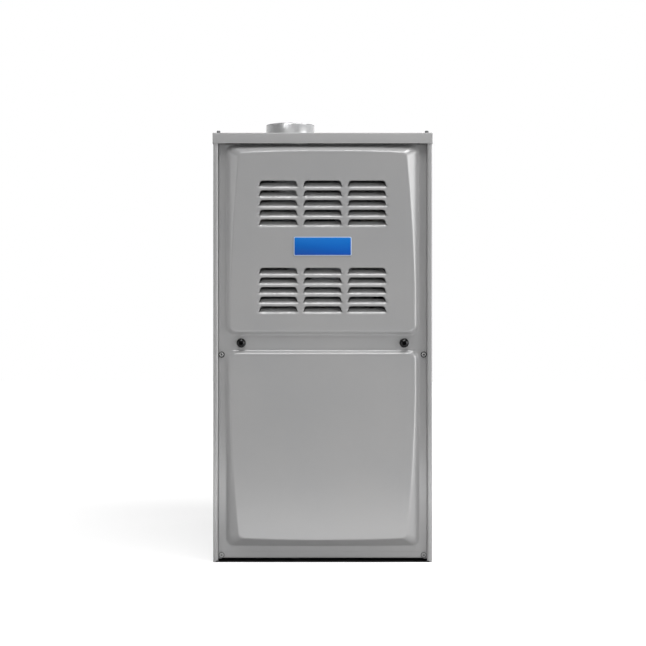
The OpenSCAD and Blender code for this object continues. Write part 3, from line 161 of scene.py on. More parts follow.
# The white lift is left out inside the same painted shadow.
whiter = maths(tree, "MULTIPLY", maths(tree, "SUBTRACT", 1.0, painted_shadow_mask), whiter)
seen = add(tree, "ShaderNodeLightPath").outputs["Is Camera Ray"]
lift = add(tree, "ShaderNodeEmission", {"Color": WHITE, "Strength": maths(tree, "MULTIPLY", seen, whiter)})
show_shader(tree, add(tree, "ShaderNodeAddShader", {0: surface.outputs[0], 1: lift.outputs[0]}))
floor.data.materials.append(floor_paint)

world = bpy.data.worlds.new("surround")
world.use_nodes = True
scene.world = world
tree = world.node_tree
tree.nodes.clear()
direction = add(tree, "ShaderNodeSeparateXYZ", {0: add(tree, "ShaderNodeTexCoord").outputs["Generated"]})
dimmer_in_front = add(tree, "ShaderNodeMapRange", {
    "Value": direction.outputs["Y"], "From Min": -0.1, "From Max": 1.0, "To Min": 0.03, "To Max": 0.9})
seen = add(tree, "ShaderNodeLightPath").outputs["Is Camera Ray"]
strength = add(tree, "ShaderNodeMix", {"Factor": seen, "A": dimmer_in_front.outputs["Result"], "B": 1.0},
               data_type="FLOAT")
background = add(tree, "ShaderNodeBackground", {"Color": WHITE, "Strength": strength.outputs["Result"]})
add(tree, "ShaderNodeOutputWorld", {"Surface": background.outputs[0]})


def soft_light(name, place, aim, width, height, power):
    """A rectangular lamp at a place, turned to a point."""
    data = bpy.data.lights.new(name, "AREA")
    data.shape = "RECTANGLE"
    data.size = width
    data.size_y = height
    data.energy = power
    lamp = bpy.data.objects.new(name, data)
    scene.collection.objects.link(lamp)
    lamp.location = place
    lamp.rotation_euler = (Vector(aim) - Vector(place)).to_track_quat("-Z", "Y").to_euler()
    lamp.visible_camera = False


door_middle = (0, -0.37, 0.45)
soft_light("right_light", (2.3, -1.2, 0.9), door_middle, 1.5, 1.8, 46)
soft_light("left_light", (-2.3, -1.2, 0.7), door_middle, 1.5, 1.4, 11)
soft_light("top_light", (0.35, -0.84, 2.35), door_middle, 3.2, 0.5, 60)
soft_light("front_light", (0, -3.0, 1.9), door_middle, 2.5, 0.8, 5)
soft_light("low_light", (0, -1.2, 0.03), (0, -0.4, 0.7), 1.4, 0.2, 3.4)

# ---- Cabinet wrap
# The side walls, back wall and front flanges are one wrap of 1.2 mm cold-rolled steel, bent on a press
# brake and powder-coated grey. Each front edge turns back 13.5 mm, to the ledge that the doors land on.
SHEET = 1.2


def noise(tree, scale, detail=2.0):
    """Noise on the piece's own coordinates; its value socket."""
    texture = add(tree, "ShaderNodeTexNoise", {"Vector": on_piece(tree), "Scale": scale, "Detail": detail})
    return texture.outputs["Fac"]


def tone_ramp(tree, value, *stops):
    """A value of 0 to 1 as a colour between two stops of (position, colour); its socket."""
    ramp = add(tree, "ShaderNodeValToRGB", {"Fac": value})
    for element, (position, colour) in zip(ramp.color_ramp.elements, stops):
        element.position = position
        element.color = (*colour, 1)
    return ramp.outputs["Color"]


def spread_to(tree, value, low, high):
    """A value of 0 to 1 spread from low to high; its socket."""
    spread = add(tree, "ShaderNodeMapRange", {"Value": value, "To Min": low, "To Max": high})
    return spread.outputs["Result"]


def raised(tree, height, strength, distance):
    """A height as a slight relief; its normal socket."""
    relief = add(tree, "ShaderNodeBump", {"Height": height, "Strength": strength, "Distance": distance})
    return relief.outputs["Normal"]


def coat(tree, inputs):
    """The material's shader, with its inputs."""
    show_shader(tree, add(tree, "ShaderNodeBsdfPrincipled", inputs))


def grey_paint():
    """Satin grey powder coat with a faint orange peel and slightly uneven gloss."""
    material, tree = new_material("grey_powder_coat")
    cloud = noise(tree, 7.0, 3.0)
    coat(tree, {
        "Base Color": tone_ramp(tree, cloud, (0.35, (0.315, 0.315, 0.317)), (0.65, (0.327, 0.325, 0.325))),
        "Metallic": 0.1,
        "Roughness": spread_to(tree, cloud, 0.22, 0.26),
        "Normal": raised(tree, noise(tree, 900.0), 0.05, 0.0004),
    })
    return material


PAINT = grey_paint()


def rounded_path(corners, radii, steps=6):
    """A flat path with each inner corner replaced by an arc of its radius."""
    points = [Vector(corners[0])]
    for before, corner, after, radius in zip(corners, corners[1:], corners[2:], radii):
        corner = Vector(corner)
        a = (Vector(before) - corner).normalized()
        b = (Vector(after) - corner).normalized()
        half = a.angle(b) / 2
        centre = corner + (a + b).normalized() * (radius / math.sin(half))
        start = corner + a * (radius / math.tan(half)) - centre
        end = corner + b * (radius / math.tan(half)) - centre
        turn = start.angle_signed(end)
        for i in range(steps + 1):
            points.append(centre + Matrix.Rotation(-turn * i / steps, 2) @ start)
    points.append(Vector(corners[-1]))
    return points


def bent_sheet(name, path, low, high, axis="z"):
    """Sheet bent along a flat path, with the path on its middle and its edges square, from low to high."""
    sides = []
    for i, point in enumerate(path):
        ahead = path[min(i + 1, len(path) - 1)] - path[max(i - 1, 0)]
        normal = Vector((-ahead.y, ahead.x)).normalized()
        sides.append((point + normal * SHEET / 2, point - normal * SHEET / 2))
    verts = []
    for left, right in sides:
        for level in (low, high):
            for p in (left, right):
                verts.append((p.x, p.y, level) if axis == "z" else (level, p.x, p.y))
    faces = []
    for a in range(0, 4 * len(path) - 4, 4):
        b = a + 4
        faces += [(a, b, b + 2, a + 2), (a + 1, a + 3, b + 3, b + 1)]
        faces += [(a, a + 1, b + 1, b), (a + 2, b + 2, b + 3, a + 3)]
    last = 4 * len(path) - 4
    faces += [(0, 2, 3, 1), (last, last + 1, last + 3, last + 2)]
    obj = mesh_object(name, verts, faces)
    outward_faces(obj)
    return obj


def edit_mesh(obj, change):
    """Makes a change to the object's mesh, given as a function of its bmesh."""
    work = bmesh.new()
    work.from_mesh(obj.data)
    change(work)
    work.to_mesh(obj.data)
    work.free()


def outward_faces(obj):
    """Turns every face of a closed mesh outwards."""
    edit_mesh(obj, lambda work: bmesh.ops.recalc_face_normals(work, faces=work.faces))


def merge_doubles(obj, distance):
    """Joins corners that lie at the same place."""
    edit_mesh(obj, lambda work: bmesh.ops.remove_doubles(work, verts=work.verts, dist=distance))


def shade(obj, sharp_degrees=30):
    """Smooth shading, with the edges sharper than the angle kept crisp."""
    def soften(work):
        for face in work.faces:
            face.smooth = True
        for edge in work.edges:
            edge.smooth = edge.is_manifold and edge.calc_face_angle(0) < math.radians(sharp_degrees)
    edit_mesh(obj, soften)


def apply_modifiers(obj):
    """The evaluated mesh becomes the object's own, and its modifiers go."""
    shown = bpy.context.evaluated_depsgraph_get()
    mesh = bpy.data.meshes.new_from_object(obj.evaluated_get(shown))
    obj.modifiers.clear()
    obj.data = mesh


def combine(obj, operation, others):
    """Combines a piece with closed meshes, which go."""
    for other in others:
        step = obj.modifiers.new("combine", "BOOLEAN")
        step.operation = operation
        step.solver = "EXACT"
        step.object = other
    apply_modifiers(obj)
    for other in others:
        bpy.data.objects.remove(other)


def drill(obj, *cutters):
    """Cuts closed meshes out of a piece."""
    combine(obj, "DIFFERENCE", cutters)


def fuse(obj, other):
    """Joins a closed mesh to a piece."""
    combine(obj, "UNION", [other])


def place(obj, material, body, slot, *replaced):
    """Gives a finished piece its material, if one is named, and its body, and hides the nodes it replaces.
    The slot is not used.
    """
    if material is not None:
        obj.data.materials.clear()
        obj.data.materials.append(material)
    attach(obj, body)
    if replaced:
        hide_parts(*replaced)


def size_of(node):
    """The lowest and highest corner of a node's box, and its middle, in millimetres."""
    low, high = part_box(node)
    return [[c / MM for c in vector] for vector in (low, high, (low + high) / 2)]


def round_bar(name, start, end, radius, segments=48):
    """A closed cylinder between two points, in millimetres."""
    start, end = Vector(start), Vector(end)
    turn = (end - start).to_track_quat("Z", "Y").to_matrix()
    verts = []
    for base in (start, end):
        for i in range(segments):
            angle = math.tau * i / segments
            verts.append(base + turn @ Vector((math.cos(angle), math.sin(angle), 0)) * radius)
    faces = [(i, (i + 1) % segments, segments + (i + 1) % segments, segments + i) for i in range(segments)]
    faces += [tuple(range(segments - 1, -1, -1)), tuple(range(segments, 2 * segments))]
    return mesh_object(name, verts, faces)


def block(name, one, other):
    """A closed box between two corners, in millimetres."""
    xs = sorted((one[0], other[0]))
    verts = [(x, y, z) for x in xs for y in (one[1], other[1]) for z in (one[2], other[2])]
    faces = [(0, 1, 3, 2), (4, 6, 7, 5), (0, 4, 5, 1), (2, 3, 7, 6), (0, 2, 6, 4), (1, 5, 7, 3)]
    return mesh_object(name, verts, faces)


wrap_low, wrap_high, _ = size_of("cabinet_wrapper")
door_low, door_high, _ = size_of("upper_door")
FLANGE = 9.5
LEDGE = 14.5
RECESS = 12.0
DOOR_GAP = 0.3
SCREW_HOLE_R = 2.15
LEDGE_HOLE_R = 2.4
half_w = wrap_high[0]
front = wrap_low[1]
back, wall_top = wrap_high[1:]
opening_x = half_w - FLANGE
ledge_x = opening_x - LEDGE
recess_y = front + RECESS
ledge_y = recess_y + SHEET + DOOR_GAP
cap_screw_x = half_w - 10.5
cap_screw_y = (front + ledge_y + SHEET) / 2
margin_screw_x = opening_x - 6.8
base_screw_z = 13.0
door_screw_z = 419.1
mid = SHEET / 2
right_side = [
    (ledge_x, ledge_y + mid),
    (opening_x + mid, ledge_y + mid),
    (opening_x + mid, front + mid),
    (half_w - mid, front + mid),
    (half_w - mid, back - mid),
]
wrap_corners = [(-x, y) for x, y in right_side] + right_side[::-1]
wrap_radii = [1.2, 3.0, 1.7, 2.6, 2.6, 1.7, 3.0, 1.2]
wrap = bent_sheet("cabinet_wrap", rounded_path(wrap_corners, wrap_radii), wrap_low[2], wall_top - 1.4)
FOOT_Z = 6.7
FOOT_DEEP = 15
wall_in = half_w - SHEET
for low, high in (
    ((wall_in - FOOT_DEEP, ledge_y + 2, FOOT_Z - SHEET), (wall_in + 0.1, back - SHEET, FOOT_Z)),
    ((-wall_in - 0.1, ledge_y + 2, FOOT_Z - SHEET), (FOOT_DEEP - wall_in, back - SHEET, FOOT_Z)),
    ((-wall_in, back - SHEET - FOOT_DEEP, FOOT_Z - SHEET), (wall_in, back - SHEET + 0.1, FOOT_Z)),
):
    fuse(wrap, block("foot_flange", low, high))


def side_hole(side, y, z, radius):
    """A cutter for a round hole in the right or left wall."""
    return round_bar("side_hole", (side * half_w - 6, y, z), (side * half_w + 6, y, z), radius)


GAS_HOLE_R = 25.0
PLUG_HOLE_R = 5.05
CONDUIT_HOLE_R = 11.1
conduit_y, conduit_z = -298.5, 433.2
gas_y, gas_z = size_of("gas_grommet")[2][1:]
plug_y, plug_z = size_of("side_plug")[2][1:]
drill(
    wrap,
    side_hole(1, gas_y, gas_z, GAS_HOLE_R),
    side_hole(-1, conduit_y, conduit_z, CONDUIT_HOLE_R),
    side_hole(-1, plug_y, plug_z, PLUG_HOLE_R),
    *[round_bar("screw_hole", (x, front + 3, z), (x, ledge_y + 4, z), LEDGE_HOLE_R, 24)
      for x in (-margin_screw_x, margin_screw_x) for z in (base_screw_z, door_screw_z)],
    *[round_bar("notch", (x, cap_screw_y, wall_top - 11), (x, cap_screw_y, wall_top + 9), SCREW_HOLE_R, 24)
      for x in (-cap_screw_x, cap_screw_x)],
)
drill(wrap, *[
    block("ledge_end", (side * (ledge_x - 1), ledge_y - 0.3, -1),
          (side * (opening_x - 0.05), ledge_y + SHEET + 0.3, FOOT_Z + 1.6))
    for side in (-1, 1)
])
for side in (-1, 1):
    mitre = [(opening_x - 0.3, 5.2), (opening_x - 0.3, -1.0), (opening_x + 8.2, -1.0)]
    verts = [(side * x, y, z) for y in (front - 1, ledge_y - 0.3) for x, z in mitre]
    faces = [(0, 1, 2), (5, 4, 3), (0, 3, 4, 1), (1, 4, 5, 2), (2, 5, 3, 0)]
    wedge = mesh_object("foot_mitre", verts, faces)
    outward_faces(wedge)
    drill(wrap, wedge)
shade(wrap)
place(wrap, PAINT, "cabinet", "cabinet_paint", "cabinet_wrapper")

# ---- Top cap
# The lid is a drawn sheet with a 21.5 mm lip folded down on all four sides. It has the flue hole, and
# behind it the supply opening, whose edges are turned up into flanges for the duct.
DUCT_RISE = 19.0
cap_low, cap_high, _ = size_of("top_cap")
cap_top = cap_high[2] - DUCT_RISE
CAP_FOLD = 1.6
CAP_CORNER = 1.8


def rounded_ring(half_x, half_y, centre_y, radius, level, steps=5):
    """Points of a rectangle with round corners, anticlockwise from its right side."""
    ring = []
    for quadrant, (sx, sy) in enumerate(((1, 1), (-1, 1), (-1, -1), (1, -1))):
        for i in range(steps + 1):
            angle = math.pi / 2 * (quadrant + i / steps)
            ring.append((
                sx * (half_x - radius) + radius * math.cos(angle),
                centre_y + sy * (half_y - radius) + radius * math.sin(angle),
                level,
            ))
    return ring


def lofted(name, rings, closed_ends=True):
    """Faces between like rings of points, with the first and last ring filled if asked."""
    count = len(rings[0])
    last = (len(rings) - 1) * count
    verts = [p for ring in rings for p in ring]
    faces = []
    for a in range(0, last, count):
        b = a + count
        faces += [(a + i, a + (i + 1) % count, b + (i + 1) % count, b + i) for i in range(count)]
    if closed_ends:
        faces += [tuple(range(count - 1, -1, -1)), tuple(range(last, last + count))]
    return mesh_object(name, verts, faces)


cap_x = cap_high[0]
cap_y = (cap_high[1] - cap_low[1]) / 2
outer = [rounded_ring(cap_x, cap_y, 0, CAP_CORNER, cap_low[2])]
inner = [rounded_ring(cap_x - SHEET, cap_y - SHEET, 0, CAP_CORNER - SHEET, cap_low[2])]
for i in range(7):
    angle = math.pi / 2 * i / 6
    inset = CAP_FOLD * (1 - math.cos(angle))
    level = cap_top - CAP_FOLD + CAP_FOLD * math.sin(angle)
    outer.append(rounded_ring(cap_x - inset, cap_y - inset, 0, max(CAP_CORNER - inset, 0.05), level))
    inset = SHEET + (CAP_FOLD - SHEET) * (1 - math.cos(angle))
    level = cap_top - CAP_FOLD + (CAP_FOLD - SHEET) * math.sin(angle)
    inner.append(rounded_ring(cap_x - inset, cap_y - inset, 0, max(CAP_CORNER - inset, 0.02), level))
cap = lofted("top_cap_lid", inner[::-1] + outer)
outward_faces(cap)
FLUE_HOLE_R = 40.0
flue_x, flue_y, _ = size_of("flue_collar")[2]
supply_x = half_w - 24.0
supply_y0, supply_y1 = -112.0, back - 23.5


def lid_hole(x, y, radius, segments):
    """A cutter for a round hole in the lid."""
    return round_bar("lid_hole", (x, y, cap_top - 9), (x, y, cap_top + 9), radius, segments)


drill(
    cap,
    lid_hole(flue_x, flue_y, FLUE_HOLE_R, 96),
    block("supply_hole", (-supply_x, supply_y0, cap_top - 9), (supply_x, supply_y1, cap_top + 9)),
    *[lid_hole(x, cap_screw_y, SCREW_HOLE_R, 24) for x in (-cap_screw_x, cap_screw_x)],
)
shade(cap)
place(cap, PAINT, "cabinet", "cabinet_paint", "top_cap")

DUCT_FOLD = 2.0
duct_profile = [
    (0, cap_top - SHEET), (0, cap_high[2] - 0.4), (0.4, cap_high[2]), (SHEET - 0.4, cap_high[2]),
    (SHEET, cap_high[2] - 0.4), (SHEET, cap_top + DUCT_FOLD), (SHEET + 0.3, cap_top + 1.0),
    (SHEET + 1.0, cap_top + 0.3), (SHEET + DUCT_FOLD, cap_top), (SHEET + DUCT_FOLD, cap_top - SHEET),
    (0, cap_top - SHEET),
]
duct_half_y = (supply_y1 - supply_y0) / 2
duct_mid_y = (supply_y0 + supply_y1) / 2
duct_flange = lofted("duct_flange", [
    rounded_ring(supply_x + offset, duct_half_y + offset, duct_mid_y, 1.0 + offset, level)
    for offset, level in duct_profile
], closed_ends=False)
merge_doubles(duct_flange, 1e-6)
outward_faces(duct_flange)
shade(duct_flange)
place(duct_flange, PAINT, "cabinet", "cabinet_paint")

# ---- Base pan
# The floor of the cabinet is a sheet with the return-air opening in it. Its front edge turns up into the
# rail under the lower door, and a screw at each end holds the rail to the ledge.
pan_low, pan_high, _ = size_of("base_pan")
rail_y = pan_low[1] + mid
rail_path = [(rail_y, pan_high[2]), (rail_y, pan_low[2] + mid), (ledge_y + 3.0, pan_low[2] + mid)]
rail = bent_sheet("base_rail", rounded_path(rail_path, [1.6]), pan_low[0], pan_high[0], axis="x")
drill(rail, *[
    block("ledge_slot", (side * (ledge_x - 0.2), ledge_y, 0), (side * 230, 0, 30)) for side in (-1, 1)
])
pan_half = wall_in - 0.05
pan_top = pan_low[2] + SHEET
fuse(rail, block("pan_sheet", (-pan_half, ledge_y + 1.3, pan_low[2]), (pan_half, pan_high[1], pan_top)))
return_x = half_w - 46
return_y0, return_y1 = front + 118, back - 38
drill(
    rail,
    block("return_hole", (-return_x, return_y0, 0), (return_x, return_y1, 12)),
    *[round_bar("rail_hole", (x, front, base_screw_z), (x, ledge_y + 4, base_screw_z), SCREW_HOLE_R, 24)
      for x in (-margin_screw_x, margin_screw_x)],
)
shade(rail)
place(rail, PAINT, "cabinet", "cabinet_paint", "base_pan")

# ---- Doors
# Both doors are one pressing in 1.2 mm steel: a flat margin round a bulge that is shallow at the seam and
# sweeps out to 22 mm at the far end. The end wall there is arched, and every fold has a pressed radius.
BULGE_MARGIN = 14.9
DEEP = 22.0
SHALLOW = 7.5
SWEEP_START = 0.2
SWEEP_POWER = 1.6
SIDE_SLOPE = 1.2
SHALLOW_RUN = 7.5
END_RUN = 14.5
END_ARCH = 4.3
ARCH_HALF = 165.0
SEAM_CORNER = 19
END_CORNER = 16
LEAST_CORNER = 6
FOOT = 1.0
FOLD = 2.2
DOOR_X = door_high[0]
BULGE_X = opening_x - BULGE_MARGIN


def smooth_min(a, b, radius):
    """The lower of two heights, rounded where they cross."""
    mix = np.clip(0.5 + 0.5 * (b - a) / radius, 0, 1)
    return b * (1 - mix) + a * mix - radius * mix * (1 - mix)


def crown_height(v, length):
    """Height of the bulge's face over the margin, at v from its shallow end."""
    along = (v - SHALLOW_RUN) / (length - SHALLOW_RUN - END_RUN)
    swept = np.clip((along - SWEEP_START) / (1 - SWEEP_START), 0, 1)
    return SHALLOW + (DEEP - SHALLOW) * swept**SWEEP_POWER


def outside_corner(to_side, to_end, radius):
    """Distance outside two lines that meet in a round corner."""
    p, q = to_side + radius, to_end + radius
    return np.where((p > 0) & (q > 0), np.hypot(p, q), np.maximum(p, q)) - radius


def wall_height(x, v, length):
    """Height of the bulge's sloped walls: the highest level whose rounded outline still holds the point."""
    low = np.full(np.shape(x), -4.0)
    high = np.full(np.shape(x), DEEP + 8.0)
    run = END_RUN + END_ARCH * (np.abs(x) / ARCH_HALF) ** 3
    for _ in range(22):
        level = (low + high) / 2
        to_side = np.abs(x) - (BULGE_X - SIDE_SLOPE * level)
        to_seam = level * SHALLOW_RUN / (SHALLOW + FOOT) - v
        to_end = v - length + run * level / (DEEP + FOOT)
        near = outside_corner(to_side, to_seam, np.maximum(SEAM_CORNER - 0.6 * level, LEAST_CORNER))
        far = outside_corner(to_side, to_end, np.maximum(END_CORNER - 0.3 * level, LEAST_CORNER))
        held = np.maximum(near, far) <= 0
        low = np.where(held, level, low)
        high = np.where(held, high, level)
    return low


def bulge_height(x, v, length):
    """Height of the pressed skin over the margin's plane."""
    wall = wall_height(x, v, length)
    foot = -smooth_min(-0.4 * wall, FOOT - wall, 0.5)
    height = smooth_min(crown_height(v, length), foot, FOLD)
    return -smooth_min(-height, np.zeros_like(height), 0.4)


def spaced(*stops):
    """Values along a line: (start, step), (next start, step), ... and an end."""
    values = []
    for (start, step), (end, _) in zip(stops, stops[1:]):
        count = max(1, round((end - start) / step))
        values += [start + (end - start) * i / count for i in range(count)]
    return values + [stops[-1][0]]


def door_grid(height, seam_margin, length, extra_rows):
    """Points over a door, along lines that follow the folds of its bulge. v runs up from the seam."""
    v0, v1 = seam_margin, seam_margin + length
    rows = spaced((0, 6), (max(v0 - 2, 0.5), 0.8), (v0 + 12, 4.5),
                  (v1 - 30, 0.8), (v1 + 1.4, 2.5), (height, 0))
    points = []
    for v in sorted({*rows, *extra_rows}):
        inside = min(max(v - v0, 0), length)
        edge = BULGE_X - SIDE_SLOPE * (float(crown_height(inside, length)) + FOOT)
        columns = spaced((0, 4.5), (edge - 5, 0.8), (edge + 3.5, 1.6),
                         (BULGE_X - 5, 0.7), (BULGE_X + 1.6, 3.0), (DOOR_X, 0))
        points += [(x, v) for x in columns] + [(-x, v) for x in columns[1:]]
    return points


def inside_outline(points, outline):
    """Which points lie inside a closed outline."""
    x, y = points[:, 0], points[:, 1]
    inside = np.zeros(len(points), bool)
    for (x0, y0), (x1, y1) in zip(outline, outline[1:] + outline[:1]):
        crosses = (y0 > y) != (y1 > y)
        if y0 != y1:
            inside ^= crosses & (x < (x1 - x0) * (y - y0) / (y1 - y0) + x0)
    return inside


def pressed_skin(height_at, points, border, holes):
    """A pressed sheet: points joined by triangles inside the border, raised to their height, with a true
    thickness. Returns corners as (x, height, v) and faces."""
    points = np.array(points)
    for hole in holes:
        keep = ~inside_outline(points, hole)
        for px, py in hole:
            keep &= np.hypot(points[:, 0] - px, points[:, 1] - py) > 0.45
        points = points[keep]
    loops = [border] + holes
    edges = []
    start = 0
    for loop in loops:
        edges += [(start + i, start + (i + 1) % len(loop)) for i in range(len(loop))]
        start += len(loop)
    flat = [Vector(p) for loop in loops for p in loop] + [Vector(p) for p in points]
    made, _, triangles, *_ = delaunay_2d_cdt(flat, edges, [], 0, 1e-5)
    xy = np.array([tuple(p) for p in made])
    middles = np.array([xy[list(t)].mean(0) for t in triangles])
    keep = inside_outline(middles, border)
    for hole in holes:
        keep &= ~inside_outline(middles, hole)
    triangles = [t for t, k in zip(triangles, keep) if k]
    step = 0.05
    x, v = xy[:, 0], xy[:, 1]
    h = height_at(x, v)
    slope_x = (height_at(x + step, v) - height_at(x - step, v)) / (2 * step)
    slope_v = (height_at(x, v + step) - height_at(x, v - step)) / (2 * step)
    size = np.sqrt(1 + slope_x**2 + slope_v**2)
    outer = np.stack([x, h, v], 1)
    inner = outer + SHEET * np.stack([slope_x, -np.ones_like(h), slope_v], 1) / size[:, None]
    count = len(xy)
    faces = []
    sides = set()
    for a, b, c in triangles:
        faces += [(a, b, c), (count + c, count + b, count + a)]
        sides |= {(a, b), (b, c), (c, a)}
    faces += [(q, p, count + p, count + q) for p, q in sorted(sides) if (q, p) not in sides]
    return np.vstack([outer, inner]), faces


def door_piece(name, skin, seam_z, up):
    """Stands a pressed skin in the cabinet: up is 1 where it rises from the seam, -1 where it hangs below."""
    corners, faces = skin
    verts = [(x, recess_y - h, seam_z + up * v) for x, h, v in corners]
    obj = mesh_object(name, verts, [tuple(face[::up]) for face in faces])
    edit_mesh(obj, lambda work: bmesh.ops.delete(
        work, geom=[v for v in work.verts if not v.link_faces], context="VERTS"))
    shade(obj, 40)
    return obj


def round_hole(x, v, radius):
    """Outline of a round hole in a door."""
    return [(x + radius * math.cos(a), v + radius * math.sin(a)) for a in np.linspace(0, math.tau, 25)[:-1]]


def door_border(height):
    """Outline of a door."""
    return [(-DOOR_X, 0), (DOOR_X, 0), (DOOR_X, height), (-DOOR_X, height)]


STRIP = 29.6
TOP_MARGIN = 0.3
upper_height = door_high[2] - door_low[2]
upper_length = upper_height - STRIP - TOP_MARGIN

LOUVER_HALF = 39.5
LOUVER_RISE = 12.0
LOUVER_CORNER = 6.4
LOUVER_CORNER_X = 31.0
LIP = 5.8
LIP_RADIUS = 7.5
LIP_FADE = 7.0
LIP_SIDE = 3.2
LIP_SIDE_FADE = 6.0
LOUVER_PITCH_X = 89.5
LOUVER_PITCH_Z = 19.4
GROUPS = (46.6, 222.0)
louver_columns = [-LOUVER_PITCH_X, 0.0, LOUVER_PITCH_X]
louver_rows = [STRIP + group + row * LOUVER_PITCH_Z for group in GROUPS for row in range(5)]


def louver_outline(inset=0.0):
    """Outline of a louver's opening, smaller by a little if asked, about the middle of its lower edge."""
    centre_x = LOUVER_CORNER_X - inset
    centre_y = LOUVER_RISE - LOUVER_CORNER - inset
    right = [(LOUVER_HALF - inset, 0.0), (LOUVER_HALF - 1.0 - inset, 2.6)]
    for i in range(7):
        angle = math.radians(6 + 84 * i / 6)
        right.append((centre_x + LOUVER_CORNER * math.cos(angle), centre_y + LOUVER_CORNER * math.sin(angle)))
    left = [(-x, y) for x, y in reversed(right)]
    base = [(LOUVER_HALF * f, 0.0) for f in np.linspace(-1, 1, 20)[1:-1]]
    return right + left + base


def lip_dip(x, v):
    """How far the face is drawn in along the lower edge of each louver, where its tab starts to bend."""
    dip = np.zeros_like(x)
    for base in louver_rows:
        along = np.clip(v - (base - LIP), 0, LIP)
        turn = LIP_RADIUS - np.sqrt(np.maximum(LIP_RADIUS**2 - along**2, 1e-9))
        above = np.clip((base + LIP_FADE - v) / LIP_FADE, 0, 1)
        fade = np.where(v > base, above**2 * (3 - 2 * above), 1.0)
        for centre in louver_columns:
            side = np.clip((LOUVER_HALF + LIP_SIDE - np.abs(x - centre)) / LIP_SIDE_FADE, 0, 1)
            drawn = turn * fade * side * side * (3 - 2 * side)
            dip = np.maximum(dip, drawn * (v > base - LIP) * (v < base + LIP_FADE))
    return dip


KNOB_X = 165.0
KNOB_V = 13.6
KNOB_HOLE_R = 3.05
holes = [[(x + cx, v + base) for x, v in louver_outline()] for cx in louver_columns for base in louver_rows]
holes += [round_hole(side * KNOB_X, KNOB_V, KNOB_HOLE_R) for side in (-1, 1)]
louver_lines = [base + d for base in louver_rows
                for d in (-6.3, -5.8, -4.9, -4.0, -3.1, -2.2, -1.3, -0.5, 1.5, 3.5, 5.5, 7.2)]
upper_skin = door_piece("upper_door_skin", pressed_skin(
    lambda x, v: bulge_height(x, v - STRIP, upper_length) - lip_dip(x, v),
    door_grid(upper_height, STRIP, upper_length, louver_lines), door_border(upper_height), holes,
), door_low[2], 1)
place(upper_skin, PAINT, "upper_door", "cabinet_paint", "upper_door")

LOWER_MARGIN = 11.9
DOOR_HOLE_R = 2.2
lower_low, lower_high, _ = size_of("lower_door")
lower_seam = lower_high[2]
lower_height = lower_seam - lower_low[2]
lower_length = lower_height - LOWER_MARGIN
lower_skin = door_piece("lower_door_skin", pressed_skin(
    lambda x, v: bulge_height(x, v, lower_length),
    door_grid(lower_height, 0, lower_length, []), door_border(lower_height),
    [round_hole(side * margin_screw_x, lower_seam - door_screw_z, DOOR_HOLE_R) for side in (-1, 1)],
), lower_seam, -1)
place(lower_skin, PAINT, "lower_door", "cabinet_paint", "lower_door")

# ---- Louver tabs
# Each louver is a tab cut on three sides and bent in about its lower edge. The bend is drawn in the door's
# skin, and the tab goes on from it. A node tree sets the tabs in their columns and rows on the swept face.
TAB_ANGLE = math.radians(48)
TAB_GAP = 0.7


def louver_tab(name):
    """One tab, about the middle of its lower edge, leaning back from the face with its full thickness."""
    outline = louver_outline(TAB_GAP)
    lean, rise = math.sin(TAB_ANGLE), math.cos(TAB_ANGLE)
    verts = [(x, y * lean + depth * rise, y * rise - depth * lean)
             for depth in (0.0, SHEET) for x, y in outline]
    count = len(outline)
    faces = [tuple(range(count)), tuple(range(2 * count - 1, count - 1, -1))]
    faces += [(i, count + i, count + (i + 1) % count, (i + 1) % count) for i in range(count)]
    tab = mesh_object(name, verts, faces)
    outward_faces(tab)
    return tab


def node_group(name, inputs):
    """A geometry node tree with inputs of (name, kind, starting value); the tree, its inputs and its end."""
    group = bpy.data.node_groups.new(name, "GeometryNodeTree")
    group.interface.new_socket("Geometry", in_out="INPUT", socket_type="NodeSocketGeometry")
    for label, kind, value in inputs:
        socket = group.interface.new_socket(label, in_out="INPUT", socket_type=kind)
        if value is not None:
            socket.default_value = value
    group.interface.new_socket("Geometry", in_out="OUTPUT", socket_type="NodeSocketGeometry")
    return group, group.nodes.new("NodeGroupInput").outputs, group.nodes.new("NodeGroupOutput")


def run_nodes(obj, group, values):
    """Sets the tree's inputs by their identifiers, and turns the result into the piece's own mesh."""
    stack = obj.modifiers.new(group.name, "NODES")
    stack.node_group = group
    for item in group.interface.items_tree:
        if item.in_out == "INPUT" and item.name in values:
            stack[item.identifier] = values[item.name]
    apply_modifiers(obj)


def times(value, factor):
    """One value times another in the tree that is being built; its socket."""
    return maths(group, "MULTIPLY", value, factor)


NUMBER = "NodeSocketFloat"
WHOLE = "NodeSocketInt"
MATERIAL = "NodeSocketMaterial"
group, given, made = node_group("louver_rows", [
    ("Columns", WHOLE, 3), ("Rows", WHOLE, 5), ("Column Pitch", NUMBER, 0.09), ("Row Pitch", NUMBER, 0.02),
    ("First Row", NUMBER, 0.0), ("Shallow Depth", NUMBER, 0.0), ("Added Depth", NUMBER, 0.0),
    ("Sweep Start", NUMBER, 0.0), ("Sweep Length", NUMBER, 0.3), ("Sweep Power", NUMBER, 1.6),
    ("Material", MATERIAL, None),
])
width = times(maths(group, "SUBTRACT", given["Columns"], 1), given["Column Pitch"])
rise = times(maths(group, "SUBTRACT", given["Rows"], 1), given["Row Pitch"])
grid = add(group, "GeometryNodeMeshGrid", {
    "Vertices X": given["Columns"], "Vertices Y": given["Rows"], "Size X": width, "Size Y": rise})
split = add(group, "ShaderNodeSeparateXYZ", {0: add(group, "GeometryNodeInputPosition").outputs[0]}).outputs
from_first = maths(group, "ADD", split["Y"], maths(group, "DIVIDE", rise, 2))
up = maths(group, "ADD", from_first, given["First Row"])
along = maths(group, "DIVIDE", maths(group, "SUBTRACT", up, given["Sweep Start"]), given["Sweep Length"])
swept = maths(group, "MAXIMUM", along, 0.0)
power = given["Sweep Power"]
